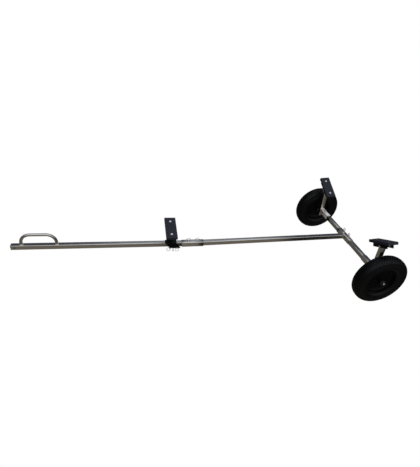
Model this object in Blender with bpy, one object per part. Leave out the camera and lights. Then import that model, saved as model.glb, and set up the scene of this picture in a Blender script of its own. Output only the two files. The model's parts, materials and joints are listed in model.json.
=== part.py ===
"""Two-wheeled hand launching trolley with a two-piece drawbar and three padded cradle supports.

Metres, +Z up. The trolley stands on its two tyres and on the end of its drawbar. The origin is on
the floor, at the middle of the whole object's box. +X runs along the drawbar from the grab handle
to the cross axle. Left (-Y) and right (+Y) are those of a person who pulls it by the handle.

The chassis (cross axle, posts, rear drawbar) is pitched about the wheel axis, the front drawbar
has a smaller slope, and the coupling sleeve takes up the small kink between them as slack.
"""

import math

import bmesh
import bpy
from mathutils import Vector

# ---------------------------------------------------------------- driving dimensions
WHEEL_RADIUS = 0.200
TYRE_WIDTH = 0.100
TRACK = 1.000

TUBE = 0.034                 # square stainless tube: axle, posts and drawbar
TUBE_WALL = 0.002
TUBE_CORNER = 0.003
GAP = 0.0003                 # kept between pieces that touch

CHASSIS_PITCH = math.radians(5.75)
AXLE_RISE = 0.027            # cross tube above the wheel axis
REAR_LENGTH = 1.2865         # cross tube to the middle of the coupling, along the drawbar
FRONT_LENGTH = 1.2300        # middle of the coupling to the outer face of the end plug

COUPLING_LENGTH = 0.165
COUPLING_BORE = 0.0362
COUPLING_OUTER = 0.0402
COUPLING_PIN_X = 0.033       # each way from the middle of the sleeve

PLUG_FLANGE = 0.002
PLUG_DEPTH = 0.015
HITCH_HOLE_X = 0.026         # from the end of the drawbar
HITCH_HOLE_RADIUS = 0.0045

HANDLE_RADIUS = 0.010
HANDLE_WALL = 0.002
HANDLE_SPAN = 0.220
HANDLE_HEIGHT = 0.077        # tube centre above the drawbar's top face
HANDLE_BEND = 0.062
HANDLE_FROM_END = 0.066

T_SLEEVE_HALF = 0.090
T_SLEEVE_OUTER = 0.0390
T_SLEEVE_BORE = 0.0350
CLAMP_Y = {"left": -0.045, "right": 0.027}

POST_Y = 0.420
POST_FOOT = -0.024
POST_LEAN = math.radians(3.8)    # posts lean back this much from square to the axle
SOCKET_INNER_Y = 0.285
SOCKET_BORE = 0.0346

PAD_LENGTH = 0.198
PAD_WIDTH = 0.080
PAD_THICKNESS = 0.020
PAD_BOLT_Y = 0.0615
CHANNEL_LENGTH = 0.145
CHANNEL_WIDTH = 0.050
CHANNEL_WALL = 0.003
CHANNEL_DEPTH = 0.028
PIVOT_DROP = 0.0160          # pivot centre below the underside of the channel's web
PIVOT_RADIUS = 0.005
SIDE_PIVOT_HEIGHT = 0.2400    # above the wheel axis
SIDE_TILT = math.radians(29)
SIDE_POST_TOP = 0.0082       # post above its pivot: the web stops on it near 30 degrees
KEEL_PIVOT_HEIGHT = 0.1110   # above the drawbar's axis
KEEL_TILT = math.radians(13.5)
KEEL_POST_TOP = 0.0105

SADDLE_FROM_COUPLING = 0.1710    # keel post to the middle of the coupling
SADDLE_HALF_LENGTH = 0.041
SADDLE_SHIFT = 0.020         # saddle centre ahead of the keel post at the drawbar's axis
SADDLE_RAKE = -0.7           # its slanted ends move this much along X per metre of height
SADDLE_HALF_WIDTH = 0.022
SADDLE_INNER = 0.0178
SADDLE_TOP = 0.0215
SADDLE_FOOT = -0.0282
SADDLE_PIN_Z = -0.0220
SADDLE_PIN_X = (-0.001, 0.052)
SADDLE_SCREW_X = 0.022
TOMMY_BAR_REACH = 0.0168      # its axis clear of the pin heads when it turns past them

HUB_HALF = 0.043
HUB_RADIUS = 0.0175
HUB_BORE = 0.0147
STUB_RADIUS = 0.010
RIM_SHEET = 0.002
RIM_DISC = 0.0020            # half the thickness of the rim's central disc
SECTION_RADIUS = 0.050       # half the height of the tyre's section
SECTION_POWER = 0.8          # 1 is an ellipse, less is squarer

RING_RADIUS = 0.0140
RING_WIRE = 0.00125
PIN_HEAD_RADIUS = 0.0048
PIN_HEAD_HEIGHT = 0.011
PIN_EYE_HEIGHT = 0.0065      # cross hole above the underside of the head
PIN_EYE_RADIUS = 0.0024

FINE = 28                    # facets round a large turned piece
COARSE = 12                  # facets round a small one

# ---------------------------------------------------------------- derived places
HALF_TUBE = TUBE / 2
COUPLING_Z = (
    WHEEL_RADIUS - REAR_LENGTH * math.sin(CHASSIS_PITCH) + AXLE_RISE * math.cos(CHASSIS_PITCH)
)
COUPLING_X = -REAR_LENGTH * math.cos(CHASSIS_PITCH) - AXLE_RISE * math.sin(CHASSIS_PITCH)
# the front drawbar's lower end corner stands on the floor
FRONT_PITCH = math.asin(COUPLING_Z / math.hypot(FRONT_LENGTH, HALF_TUBE)) - math.atan2(
    HALF_TUBE, FRONT_LENGTH
)
KINK = CHASSIS_PITCH - FRONT_PITCH
END_X = COUPLING_X - FRONT_LENGTH * math.cos(FRONT_PITCH) - HALF_TUBE * math.sin(FRONT_PITCH)
WHEEL_X = -(END_X + WHEEL_RADIUS) / 2      # puts the middle of the box at X = 0
COUPLING_PITCH = (CHASSIS_PITCH + FRONT_PITCH) / 2
COUPLING_LIFT = COUPLING_LENGTH / 4 * math.tan(KINK / 2)

# colour, roughness, metallic
FINISHES = {
    "stainless": ((0.52, 0.50, 0.47), 0.32, 1.0),
    "zinc": ((0.70, 0.70, 0.68), 0.35, 1.0),
    "black_paint": ((0.015, 0.016, 0.018), 0.45, 0.0),
    "pad_rubber": ((0.022, 0.023, 0.028), 0.60, 0.0),
    "tyre_rubber": ((0.010, 0.011, 0.013), 0.70, 0.0),
    "nylon": ((0.05, 0.05, 0.05), 0.50, 0.0),
}
MATERIALS = {}


def material(finish):
    """One Principled material for each finish, made the first time it is asked for."""
    if finish not in MATERIALS:
        colour, roughness, metallic = FINISHES[finish]
        made = bpy.data.materials.new(finish)
        made.use_nodes = True
        shader = made.node_tree.nodes["Principled BSDF"]
        shader.inputs["Base Color"].default_value = (*colour, 1)
        shader.inputs["Roughness"].default_value = roughness
        shader.inputs["Metallic"].default_value = metallic
        MATERIALS[finish] = made
    return MATERIALS[finish]


# ---------------------------------------------------------------- outlines
def rounded_square(half, corner, steps=2):
    """A square outline of half width `half` with arcs of radius `corner`, as (a, b) pairs."""
    points = []
    for quarter in range(4):
        start = quarter * math.pi / 2
        middle = start + math.pi / 4
        centre = (half - corner) * math.sqrt(2)
        for step in range(steps + 1):
            angle = start + step / steps * math.pi / 2
            points.append(
                (
                    centre * math.cos(middle) + corner * math.cos(angle),
                    centre * math.sin(middle) + corner * math.sin(angle),
                )
            )
    return points


def circle(radius, steps):
    return [
        (radius * math.cos(2 * math.pi * k / steps), radius * math.sin(2 * math.pi * k / steps))
        for k in range(steps)
    ]


# ---------------------------------------------------------------- mesh builders
def skin(shape, loops, closed=False):
    """Joins loops of equal length with faces. A closed skin joins the last loop to the first,
    an open one gets a flat cap at each end."""
    rows = [[shape.verts.new(point) for point in loop] for loop in loops]
    pairs = list(zip(rows, rows[1:]))
    if closed:
        pairs.append((rows[-1], rows[0]))
    for low, high in pairs:
        count = len(low)
        for k in range(count):
            after = (k + 1) % count
            shape.faces.new((low[k], low[after], high[after], high[k]))
    if not closed:
        shape.faces.new(rows[0])
        shape.faces.new(rows[-1])


def along(axis, outline, place):
    """Sets a flat (a, b) outline across the named axis at `place`."""
    if axis == "X":
        return [(place, a, b) for a, b in outline]
    if axis == "Y":
        return [(a, place, b) for a, b in outline]
    return [(a, b, place) for a, b in outline]


def bar(shape, axis, outline, start, end):
    skin(shape, [along(axis, outline, start), along(axis, outline, end)])


def pipe(shape, axis, outer, inner, start, end):
    loops = [(outer, start), (outer, end), (inner, end), (inner, start)]
    skin(shape, [along(axis, outline, place) for outline, place in loops], closed=True)


def square_pipe(shape, axis, width, bore, start, end, corner=TUBE_CORNER):
    inner_corner = max(corner - (width - bore) / 2, 0.001)
    pipe(
        shape, axis, rounded_square(width / 2, corner), rounded_square(bore / 2, inner_corner),
        start, end,
    )


def turned(shape, axis, profile, steps, closed=False):
    """A turned piece: `profile` lists (radius, place along the axis)."""
    skin(shape, [along(axis, circle(radius, steps), place) for radius, place in profile], closed)


def washer(shape, axis, bore, radius, start, end, steps=COARSE):
    turned(shape, axis, [(bore, start), (radius, start), (radius, end), (bore, end)], steps, True)


def hexagon(across_flats):
    """A hexagon with a point in the middle of each side, to match a round of twelve facets."""
    corners = circle(across_flats / math.sqrt(3), 6)
    outline = []
    for k, corner in enumerate(corners):
        after = corners[(k + 1) % 6]
        outline += [corner, ((corner[0] + after[0]) / 2, (corner[1] + after[1]) / 2)]
    return outline


def stack(shape, axis, sections):
    """A solid whose cross-sections, all of equal count, are given as (outline, place) pairs."""
    skin(shape, [along(axis, outline, place) for outline, place in sections])


def tightened_bolt(shape, axis, radius, across_flats, head, nut_low, nut_high, end):
    """A hexagon bolt with its nut run up tight, as one solid. The head is a (far, near) pair."""
    shank = circle(radius, 12)
    flats = hexagon(across_flats)
    stack(
        shape, axis,
        [
            (flats, head[0]), (flats, head[1]), (shank, head[1]), (shank, nut_low),
            (flats, nut_low), (flats, nut_high), (shank, nut_high), (shank, end),
        ],
    )


def nut(shape, axis, bore, across_flats, start, end):
    pipe(shape, axis, hexagon(across_flats), circle(bore, 12), start, end)


def hoop(shape, centre, radius, wire, across, up, steps=16, facets=5):
    """A round wire ring: its plane holds the directions `across` and `up`."""
    across, up, centre = Vector(across), Vector(up), Vector(centre)
    side = across.cross(up)
    loops = []
    for k in range(steps):
        angle = 2 * math.pi * k / steps
        out = across * math.sin(angle) - up * math.cos(angle)
        loops.append(
            [centre + out * (radius + a) + side * b for a, b in circle(wire, facets)]
        )
    skin(shape, loops, closed=True)


# ---------------------------------------------------------------- objects
def frame(name, parent=None, place=(0, 0, 0), pitch=0.0, turn=0.0, tilt=0.0):
    """An empty: turned about Z, pitched up towards +X, and tilted about its own X."""
    empty = bpy.data.objects.new(name, None)
    bpy.context.collection.objects.link(empty)
    empty.parent = parent
    empty.location = place
    empty.rotation_euler = (tilt, -pitch, turn)
    return empty


def solid(name, finish, parent, build, place=(0, 0, 0), rotation=(0, 0, 0)):
    """One named piece: `build` fills a mesh in the piece's own axes."""
    shape = bmesh.new()
    build(shape)
    bmesh.ops.recalc_face_normals(shape, faces=shape.faces)
    mesh = bpy.data.meshes.new(name)
    shape.to_mesh(mesh)
    shape.free()
    mesh.shade_smooth()
    mesh.set_sharp_from_angle(angle=math.radians(35))
    piece = bpy.data.objects.new(name, mesh)
    bpy.context.collection.objects.link(piece)
    piece.parent = parent
    piece.location = place
    piece.rotation_euler = rotation
    if finish:
        mesh.materials.append(material(finish))
    return piece


def boolean(piece, tool, operation):
    """Cuts or joins `tool` into `piece`; the tool itself isn't part of the model."""
    tool.hide_render = True
    tool.display_type = "WIRE"
    step = piece.modifiers.new(tool.name, "BOOLEAN")
    step.operation = operation
    step.solver = "EXACT"
    step.object = tool


def drill(pieces, name, parent, axis, radius, start, end, place=(0, 0, 0), steps=COARSE):
    """A round hole through each of `pieces`."""
    cutter = solid(
        name, None, parent, lambda s: bar(s, axis, circle(radius, steps), start, end), place
    )
    for piece in pieces:
        boolean(piece, cutter, "DIFFERENCE")


# ---------------------------------------------------------------- ring pins
def ring_pin(name, parent, place, rotation, shank_radius, shank_length):
    """A lock pin along its own Z with a cross hole in its head, and the wire ring through it."""

    def shank(shape):
        turned(
            shape, "Z",
            [
                (shank_radius * 0.6, -shank_length),
                (shank_radius, -shank_length + 0.002),
                (shank_radius, GAP),
                (PIN_HEAD_RADIUS, GAP),
                (PIN_HEAD_RADIUS, PIN_HEAD_HEIGHT - 0.001),
                (PIN_HEAD_RADIUS - 0.001, PIN_HEAD_HEIGHT),
            ],
            COARSE,
        )

    pin = solid(name, "zinc", parent, shank, place, rotation)
    drill([pin], name + "_eye", pin, "X", PIN_EYE_RADIUS, -0.01, 0.01, (0, 0, PIN_EYE_HEIGHT))
    return pin


def pull_ring(name, pin, lean):
    """The ring turns in the pin's eye, about the pin's X. `lean` is its turn from upright."""
    return solid(
        name, "zinc", pin,
        lambda s: hoop(s, (0, 0, RING_RADIUS), RING_RADIUS, RING_WIRE, (1, 0, 0), (0, 0, 1)),
        (0, 0, PIN_EYE_HEIGHT), (lean, 0, 0),
    )


# ---------------------------------------------------------------- drawbar
def drawbar(chassis, coupling, front):
    rear = solid(
        "rear_drawbar_tube", "stainless", chassis,
        lambda s: square_pipe(
            s, "X", TUBE, TUBE - 2 * TUBE_WALL, -REAR_LENGTH + 0.001, -T_SLEEVE_OUTER / 2 - GAP
        ),
        (0, 0, AXLE_RISE),
    )
    ahead = solid(
        "front_drawbar_tube", "stainless", front,
        lambda s: square_pipe(
            s, "X", TUBE, TUBE - 2 * TUBE_WALL, -FRONT_LENGTH + PLUG_FLANGE + GAP, -0.001
        ),
    )
    sleeve = solid(
        "coupling_sleeve", "stainless", coupling,
        lambda s: square_pipe(
            s, "X", COUPLING_OUTER, COUPLING_BORE, -COUPLING_LENGTH / 2, COUPLING_LENGTH / 2
        ),
    )
    for name, x, tube in (("front", -COUPLING_PIN_X, ahead), ("rear", COUPLING_PIN_X, rear)):
        drill(
            [sleeve, tube], f"coupling_hole_{name}", coupling, "Z", 0.0044, -0.03, 0.03, (x, 0, 0)
        )
        pin = ring_pin(
            f"coupling_pin_{name}", coupling, (x, 0, COUPLING_OUTER / 2), (0, 0, 0), 0.004, 0.051
        )
        pull_ring(f"coupling_ring_{name}", pin, math.radians(25))
    drill(
        [ahead], "hitch_hole", front, "Y", HITCH_HOLE_RADIUS, -0.03, 0.03,
        (-FRONT_LENGTH + HITCH_HOLE_X, 0, 0),
    )

    def plug(shape):
        flange = rounded_square(HALF_TUBE, TUBE_CORNER)
        insert = rounded_square(HALF_TUBE - TUBE_WALL - 0.0004, 0.001)
        skin(
            shape,
            [
                along("X", flange, 0),
                along("X", flange, PLUG_FLANGE),
                along("X", insert, PLUG_FLANGE),
                along("X", insert, PLUG_DEPTH),
            ],
        )

    solid("drawbar_end_plug", "nylon", front, plug, (-FRONT_LENGTH, 0, 0))
    grab_handle(front)


def grab_handle(front):
    """A bent round tube: two upright legs, two quarter bends and a straight grip."""

    def bent(shape):
        foot = HALF_TUBE + GAP
        top = HALF_TUBE + HANDLE_HEIGHT
        half = HANDLE_SPAN / 2
        path = [((-half, foot), (0, 1))]
        for side in (-1, 1):
            for step in range(6):
                angle = step / 5 * math.pi / 2
                if side > 0:
                    angle = math.pi / 2 - angle
                place = (
                    side * (half - HANDLE_BEND + HANDLE_BEND * math.cos(angle)),
                    top - HANDLE_BEND + HANDLE_BEND * math.sin(angle),
                )
                path.append((place, (math.sin(angle), -side * math.cos(angle))))
        path.append(((half, foot), (0, -1)))
        walls = []
        for radius in (HANDLE_RADIUS, HANDLE_RADIUS - HANDLE_WALL):
            wall = []
            for (x, z), (dx, dz) in path:
                wall.append([(x - a * dz, b, z + a * dx) for a, b in circle(radius, COARSE)])
            walls.append(wall)
        skin(shape, walls[0] + walls[1][::-1], closed=True)

    middle = -FRONT_LENGTH + HANDLE_FROM_END + HANDLE_SPAN / 2
    solid("grab_handle", "stainless", front, bent, (middle, 0, 0))


# ---------------------------------------------------------------- pads
def rocking_pad(prefix, post_frame, height, tilt):
    """A pad bolted on a channel that rocks about a bolt through the post's top.

    The pad's own axes: X along the pivot bolt, Y along the pad, Z out of its face."""
    pivot = frame(prefix + "_pivot", post_frame, (0, 0, height), tilt=tilt)
    web = PIVOT_DROP + CHANNEL_WALL
    half = CHANNEL_WIDTH / 2

    def channel(shape):
        inner = half - CHANNEL_WALL
        foot = web - CHANNEL_DEPTH
        outline = [
            (-half, foot), (-half, web - 0.002), (-half + 0.002, web), (half - 0.002, web),
            (half, web - 0.002), (half, foot), (inner, foot), (inner, PIVOT_DROP),
            (-inner, PIVOT_DROP), (-inner, foot),
        ]
        bar(shape, "Y", outline, -CHANNEL_LENGTH / 2, CHANNEL_LENGTH / 2)

    rail = solid(prefix + "_channel", "black_paint", pivot, channel)
    drill([rail], prefix + "_pivot_hole", pivot, "X", PIVOT_RADIUS + 0.0004, -0.03, 0.03)

    def block(shape):
        low = web + GAP
        outline = [(-0.5, -0.5), (0.5, -0.5), (0.5, 0.5), (-0.5, 0.5)]
        edge = 0.003
        sizes = [(edge, 0), (0, edge), (0, PAD_THICKNESS - edge), (edge, PAD_THICKNESS - GAP)]
        loops = []
        for inset, rise in sizes:
            loops.append(
                [
                    (a * (PAD_WIDTH - 2 * inset), b * (PAD_LENGTH - 2 * inset), low + rise)
                    for a, b in outline
                ]
            )
        skin(shape, loops)

    pad = solid(prefix + "_pad", "pad_rubber", pivot, block)
    face = web + PAD_THICKNESS

    for end, y in (("inner", -PAD_BOLT_Y), ("outer", PAD_BOLT_Y)):
        sink = solid(
            f"{prefix}_sink_{end}", None, pivot,
            lambda s: turned(
                s, "Z",
                [(0.0047, 0), (0.0047, face - 0.006), (0.0092, face - 0.0012), (0.0092, face + 0.01)],
                12,
            ),
            (0, y, 0),
        )
        boolean(pad, sink, "DIFFERENCE")
        boolean(rail, sink, "DIFFERENCE")
        solid(f"{prefix}_pad_bolt_{end}", "zinc", pivot, lambda s: pad_bolt(s, face), (0, y, 0))

    solid(
        prefix + "_pivot_bolt", "zinc", post_frame,
        lambda s: tightened_bolt(
            s, "X", PIVOT_RADIUS, 0.017, (-half - 0.0068, -half - GAP), half + GAP, half + 0.0080,
            half + 0.0100,
        ),
        (0, 0, height),
    )
    return pivot


def pad_bolt(shape, face):
    """A countersunk bolt, its head just under the pad's face, with its nut under the channel."""
    shank, flats = circle(0.0040, 12), hexagon(0.013)
    low, high = PIVOT_DROP - 0.0068, PIVOT_DROP - GAP
    stack(
        shape, "Z",
        [
            (shank, low - 0.0020), (shank, low), (flats, low), (flats, high), (shank, high),
            (shank, face - 0.0056), (circle(0.0084, 12), face - 0.0014),
            (circle(0.0084, 12), face - 0.0008),
        ],
    )


# ---------------------------------------------------------------- axle, posts and clamps
def t_joint(chassis):
    """The short sleeve that the two halves of the cross axle slide in, and its clamp screws."""
    sleeve = solid(
        "axle_sleeve", "stainless", chassis,
        lambda s: square_pipe(s, "Y", T_SLEEVE_OUTER, T_SLEEVE_BORE, -T_SLEEVE_HALF, T_SLEEVE_HALF),
        (0, 0, AXLE_RISE),
    )
    top = T_SLEEVE_OUTER / 2
    nut_height = 0.008
    for name, y in CLAMP_Y.items():
        place = (0, y, AXLE_RISE)
        welded_nut = solid(
            f"clamp_nut_{name}", None, chassis,
            lambda s: bar(s, "Z", hexagon(0.015), top - 0.001, top + nut_height), place,
        )
        boolean(sleeve, welded_nut, "UNION")
        drill([sleeve], f"clamp_hole_{name}", chassis, "Z", 0.0044, 0, 0.05, place)
        eye_screw(f"clamp_screw_{name}", chassis, place, HALF_TUBE + GAP, top + nut_height)


def eye_screw(name, parent, place, tip, collar):
    """A screw whose head is a ring of wire, to be turned with a finger or a bar."""
    radius, wire = 0.0105, 0.0022
    neck = collar + 0.006

    def shank(shape):
        turned(
            shape, "Z",
            [(0.003, tip), (0.004, tip + 0.001), (0.004, collar + GAP), (0.006, collar + GAP),
             (0.006, collar + 0.003), (0.003, neck)],
            COARSE,
        )

    screw = solid(name, "zinc", parent, shank, place)
    ring = solid(
        name + "_ring", None, screw,
        lambda s: hoop(s, (0, 0, neck + radius + wire - 0.001), radius, wire, (0, 1, 0), (0, 0, 1)),
    )
    boolean(screw, ring, "UNION")


def axle_half(name, side_frame):
    """One half of the cross axle: its tube, the socket on the post, the post and the stub axle.
    In the side's own axes +Y points outwards."""
    solid(
        f"axle_tube_{name}", "stainless", side_frame,
        lambda s: square_pipe(s, "Y", TUBE, TUBE - 2 * TUBE_WALL, 0.001, POST_Y - HALF_TUBE - 0.0008),
        (0, 0, AXLE_RISE),
    )
    solid(
        f"axle_socket_{name}", "stainless", side_frame,
        lambda s: square_pipe(
            s, "Y", T_SLEEVE_OUTER, SOCKET_BORE, SOCKET_INNER_Y, POST_Y - HALF_TUBE - GAP
        ),
        (0, 0, AXLE_RISE),
    )
    lean = -POST_LEAN if name == "left" else POST_LEAN
    post_frame = frame(f"post_frame_{name}", side_frame, (0, POST_Y, 0), pitch=lean)
    post = solid(
        f"post_{name}", "stainless", post_frame,
        lambda s: square_pipe(
            s, "Z", TUBE, TUBE - 2 * TUBE_WALL, POST_FOOT, SIDE_PIVOT_HEIGHT + SIDE_POST_TOP
        ),
    )
    drill([post], f"stub_hole_{name}", post_frame, "Y", STUB_RADIUS + GAP, -0.03, 0.03, steps=16)
    drill(
        [post], f"post_pivot_hole_{name}", post_frame, "X", PIVOT_RADIUS + 0.0004, -0.03, 0.03,
        (0, 0, SIDE_PIVOT_HEIGHT),
    )
    for step in range(3):
        drill(
            [post], f"post_hole_{name}_{step}", post_frame, "Y", 0.003, -0.03, 0,
            (0, 0, 0.075 + 0.035 * step), steps=10,
        )
    rocking_pad(f"side_{name}", post_frame, SIDE_PIVOT_HEIGHT, SIDE_TILT)

    hub_y = TRACK / 2 - POST_Y             # wheel's middle plane, out from the post's middle
    inner_face = hub_y - HUB_HALF - 0.0025
    outer_face = hub_y + HUB_HALF + 0.0025

    def stub(shape):
        turned(
            shape, "Y",
            [
                (STUB_RADIUS, -HALF_TUBE + GAP), (STUB_RADIUS, outer_face + 0.001),
                (0.0078, outer_face + 0.001), (0.0078, outer_face + 0.0140),
                (0.0068, outer_face + 0.0150),
            ],
            16,
        )

    solid(f"stub_axle_{name}", "zinc", post_frame, stub)

    solid(
        f"axle_spacer_{name}", "zinc", post_frame,
        lambda s: washer(
            s, "Y", STUB_RADIUS + GAP, 0.0155, HALF_TUBE + GAP, inner_face - GAP, 16
        ),
    )
    solid(
        f"axle_washer_{name}", "zinc", post_frame,
        lambda s: washer(s, "Y", 0.0081, 0.0150, outer_face + 0.0013, outer_face + 0.0033, 16),
    )
    solid(
        f"axle_nut_{name}", "zinc", post_frame,
        lambda s: nut(s, "Y", 0.0081, 0.024, outer_face + 0.0036, outer_face + 0.0126),
    )


# ---------------------------------------------------------------- wheels
def section(half_size, angles):
    """Points (radius, y) of the rounded-square tyre section, by angle from its crown."""
    points = []
    for angle in angles:
        s, c = math.sin(angle), math.cos(angle)
        points.append(
            (
                WHEEL_RADIUS - SECTION_RADIUS
                + half_size * math.copysign(abs(c) ** SECTION_POWER, c),
                half_size * TYRE_WIDTH / (2 * SECTION_RADIUS)
                * math.copysign(abs(s) ** SECTION_POWER, s),
            )
        )
    return points


def wheel(name, wheel_frame):
    """Tyre, inner tube with its valve, welded rim, hub tube and two flanged bushes.
    In the wheel's own axes +Y points outwards."""

    def tyre(shape):
        reach = math.radians(140)
        outer = section(SECTION_RADIUS, [reach * (k / 7 - 1) for k in range(15)])
        inner = section(SECTION_RADIUS - 0.0065, [reach * (1 - k / 4) for k in range(9)])
        right_bead = [(0.1024, 0.0345), (0.1024, 0.0285)]
        left_bead = [(radius, -y) for radius, y in right_bead[::-1]]
        turned(shape, "Y", outer + right_bead + inner + left_bead, 36, closed=True)

    solid(f"tyre_{name}", "tyre_rubber", wheel_frame, tyre)

    def tube(shape):
        profile = [(0.149 + a, b) for a, b in circle(0.0380, 8)]
        turned(shape, "Y", profile, 20, closed=True)

    valve_y = 0.022
    inner_tube = solid(f"inner_tube_{name}", "tyre_rubber", wheel_frame, tube)
    valve = solid(
        f"valve_{name}", None, wheel_frame,
        lambda s: turned(s, "Z", [(0.0025, 0.078), (0.0032, 0.079), (0.0032, 0.122)], 10),
        (0, valve_y, 0),
    )
    boolean(inner_tube, valve, "UNION")

    def rim_body(shape):
        """Two pressed halves welded back to back: a central disc and a stepped barrel."""
        edge = [
            (0.0880, 0.0075), (0.0960, 0.0100), (0.1000, 0.0150), (0.1000, 0.0370),
        ]
        inside = [(HUB_RADIUS + GAP, RIM_DISC), (0.0700, RIM_DISC)]
        face = inside + [(radius - RIM_SHEET / 2, y) for radius, y in edge]
        face += [(0.1024, 0.0402), (0.1085, 0.0402)]
        back = [(0.1085, 0.0382), (0.1038, 0.0378), (0.1016, 0.0352), (0.1016, 0.0150)]
        back += [(0.0975, 0.0090), (0.0895, 0.0055)]
        half = face + back
        turned(shape, "Y", half + [(radius, -y) for radius, y in half[::-1]], FINE + 4, closed=True)

    rim = solid(f"rim_{name}", "black_paint", wheel_frame, rim_body)
    drill([rim], f"valve_hole_{name}", wheel_frame, "Z", 0.0042, 0.090, 0.110,
          (0, valve_y, 0), steps=10)
    solid(
        f"hub_{name}", "black_paint", wheel_frame,
        lambda s: washer(s, "Y", HUB_BORE, HUB_RADIUS, -HUB_HALF, HUB_HALF, FINE),
    )
    for end, side in (("inner", -1), ("outer", 1)):
        bore, outer, collar = STUB_RADIUS + GAP, HUB_BORE - GAP, HUB_RADIUS
        places = [side * (HUB_HALF + grow) for grow in (-0.020, GAP, 0.0023)]
        profile = [
            (bore, places[0]), (outer, places[0]), (outer, places[1]),
            (collar, places[1]), (collar, places[2]), (bore, places[2]),
        ]
        solid(
            f"hub_bush_{end}_{name}", "nylon", wheel_frame,
            lambda s: turned(s, "Y", profile, 16, closed=True),
        )


# ---------------------------------------------------------------- keel support
def keel_support(front):
    """A slant-ended saddle over the front drawbar, with its post, pad, pins and clamp screw."""
    base = frame("saddle_frame", front, (-SADDLE_FROM_COUPLING, 0, 0))

    def saddle(shape):
        out, inn = SADDLE_HALF_WIDTH, SADDLE_INNER
        outline = [
            (-out, SADDLE_FOOT), (-out, SADDLE_TOP - 0.002), (-out + 0.002, SADDLE_TOP),
            (out - 0.002, SADDLE_TOP), (out, SADDLE_TOP - 0.002), (out, SADDLE_FOOT),
            (inn, SADDLE_FOOT), (inn, HALF_TUBE + GAP), (-inn, HALF_TUBE + GAP), (-inn, SADDLE_FOOT),
        ]
        ends = []
        for half in (-SADDLE_HALF_LENGTH, SADDLE_HALF_LENGTH):
            ends.append([(SADDLE_SHIFT + SADDLE_RAKE * z + half, y, z) for y, z in outline])
        skin(shape, ends)

    body = solid("keel_saddle", "black_paint", base, saddle)
    for name, x, turn in (
        ("front", SADDLE_PIN_X[0], math.radians(-45)),
        ("rear", SADDLE_PIN_X[1], 0.0),
    ):
        drill([body], f"saddle_pin_hole_{name}", base, "Y", 0.0033, -0.03, 0.03,
              (x, 0, SADDLE_PIN_Z), steps=10)
        # head towards -Y, with the ring hanging below it
        turned_to_front = frame(
            f"saddle_pin_frame_{name}", base, (x, -SADDLE_HALF_WIDTH, SADDLE_PIN_Z), tilt=math.pi / 2
        )
        pin = ring_pin(
            f"saddle_pin_{name}", turned_to_front, (0, 0, 0), (0, 0, turn), 0.003, 0.048
        )
        pull_ring(f"saddle_ring_{name}", pin, math.radians(90))

    drill([body], "saddle_screw_hole", base, "Y", 0.0044, -0.03, 0, (SADDLE_SCREW_X, 0, 0))
    clamp_screw(base)
    post = solid(
        "keel_post", "black_paint", base,
        lambda s: square_pipe(
            s, "Z", TUBE, TUBE - 2 * TUBE_WALL, SADDLE_TOP + GAP, KEEL_PIVOT_HEIGHT + KEEL_POST_TOP
        ),
    )
    drill([post], "keel_pivot_post_hole", base, "X", PIVOT_RADIUS + 0.0004, -0.03, 0.03,
          (0, 0, KEEL_PIVOT_HEIGHT))
    rocking_pad("keel", base, KEEL_PIVOT_HEIGHT, KEEL_TILT)


def clamp_screw(base):
    """Presses on the drawbar's side through the saddle's left leg; a cross bar turns it."""
    out = SADDLE_HALF_WIDTH

    def shank(shape):
        turned(
            shape, "Y",
            [
                (0.003, -HALF_TUBE - GAP), (0.004, -HALF_TUBE - 0.0012), (0.004, -out - GAP),
                (0.0075, -out - GAP), (0.0075, -out - 0.006), (0.006, -out - 0.0065),
                (0.006, -out - 0.022), (0.005, -out - 0.023),
            ],
            COARSE,
        )

    screw = solid("saddle_clamp_screw", "black_paint", base, shank, (SADDLE_SCREW_X, 0, 0))
    handle = solid(
        "tommy_bar", None, screw,
        lambda s: turned(
            s, "Z",
            [(0.0012, -0.044), (0.0030, -0.041), (0.0025, -0.036), (0.0025, 0.022), (0.0015, 0.023)],
            10,
        ),
        (0, -out - TOMMY_BAR_REACH, 0),
    )
    boolean(screw, handle, "UNION")


# ---------------------------------------------------------------- the whole trolley
def main():
    for old in list(bpy.data.objects):
        bpy.data.objects.remove(old)
    chassis = frame("chassis", place=(WHEEL_X, 0, WHEEL_RADIUS), pitch=CHASSIS_PITCH)
    middle = Vector((WHEEL_X + COUPLING_X, 0, COUPLING_Z))
    front = frame("front_drawbar", place=middle, pitch=FRONT_PITCH)
    coupling = frame(
        "coupling", place=middle + Vector((0, 0, COUPLING_LIFT)), pitch=COUPLING_PITCH
    )
    drawbar(chassis, coupling, front)
    t_joint(chassis)
    keel_support(front)
    for name, turn in (("left", math.pi), ("right", 0.0)):
        side_frame = frame(f"side_{name}_frame", chassis, turn=turn)
        axle_half(name, side_frame)
        out = -1 if turn else 1
        wheel(
            name, frame(f"wheel_{name}_frame", None, (WHEEL_X, out * TRACK / 2, WHEEL_RADIUS), turn=turn)
        )


main()
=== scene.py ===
"""Looks of the two-wheel launching trolley: a stainless drawbar, T-shaped cross axle, rocking pads,
ring pins and pneumatic wheels, built as computed surfaces round the fixed frame."""
import json
import math

import bmesh
import bpy
import numpy as np
from mathutils import Matrix


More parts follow.
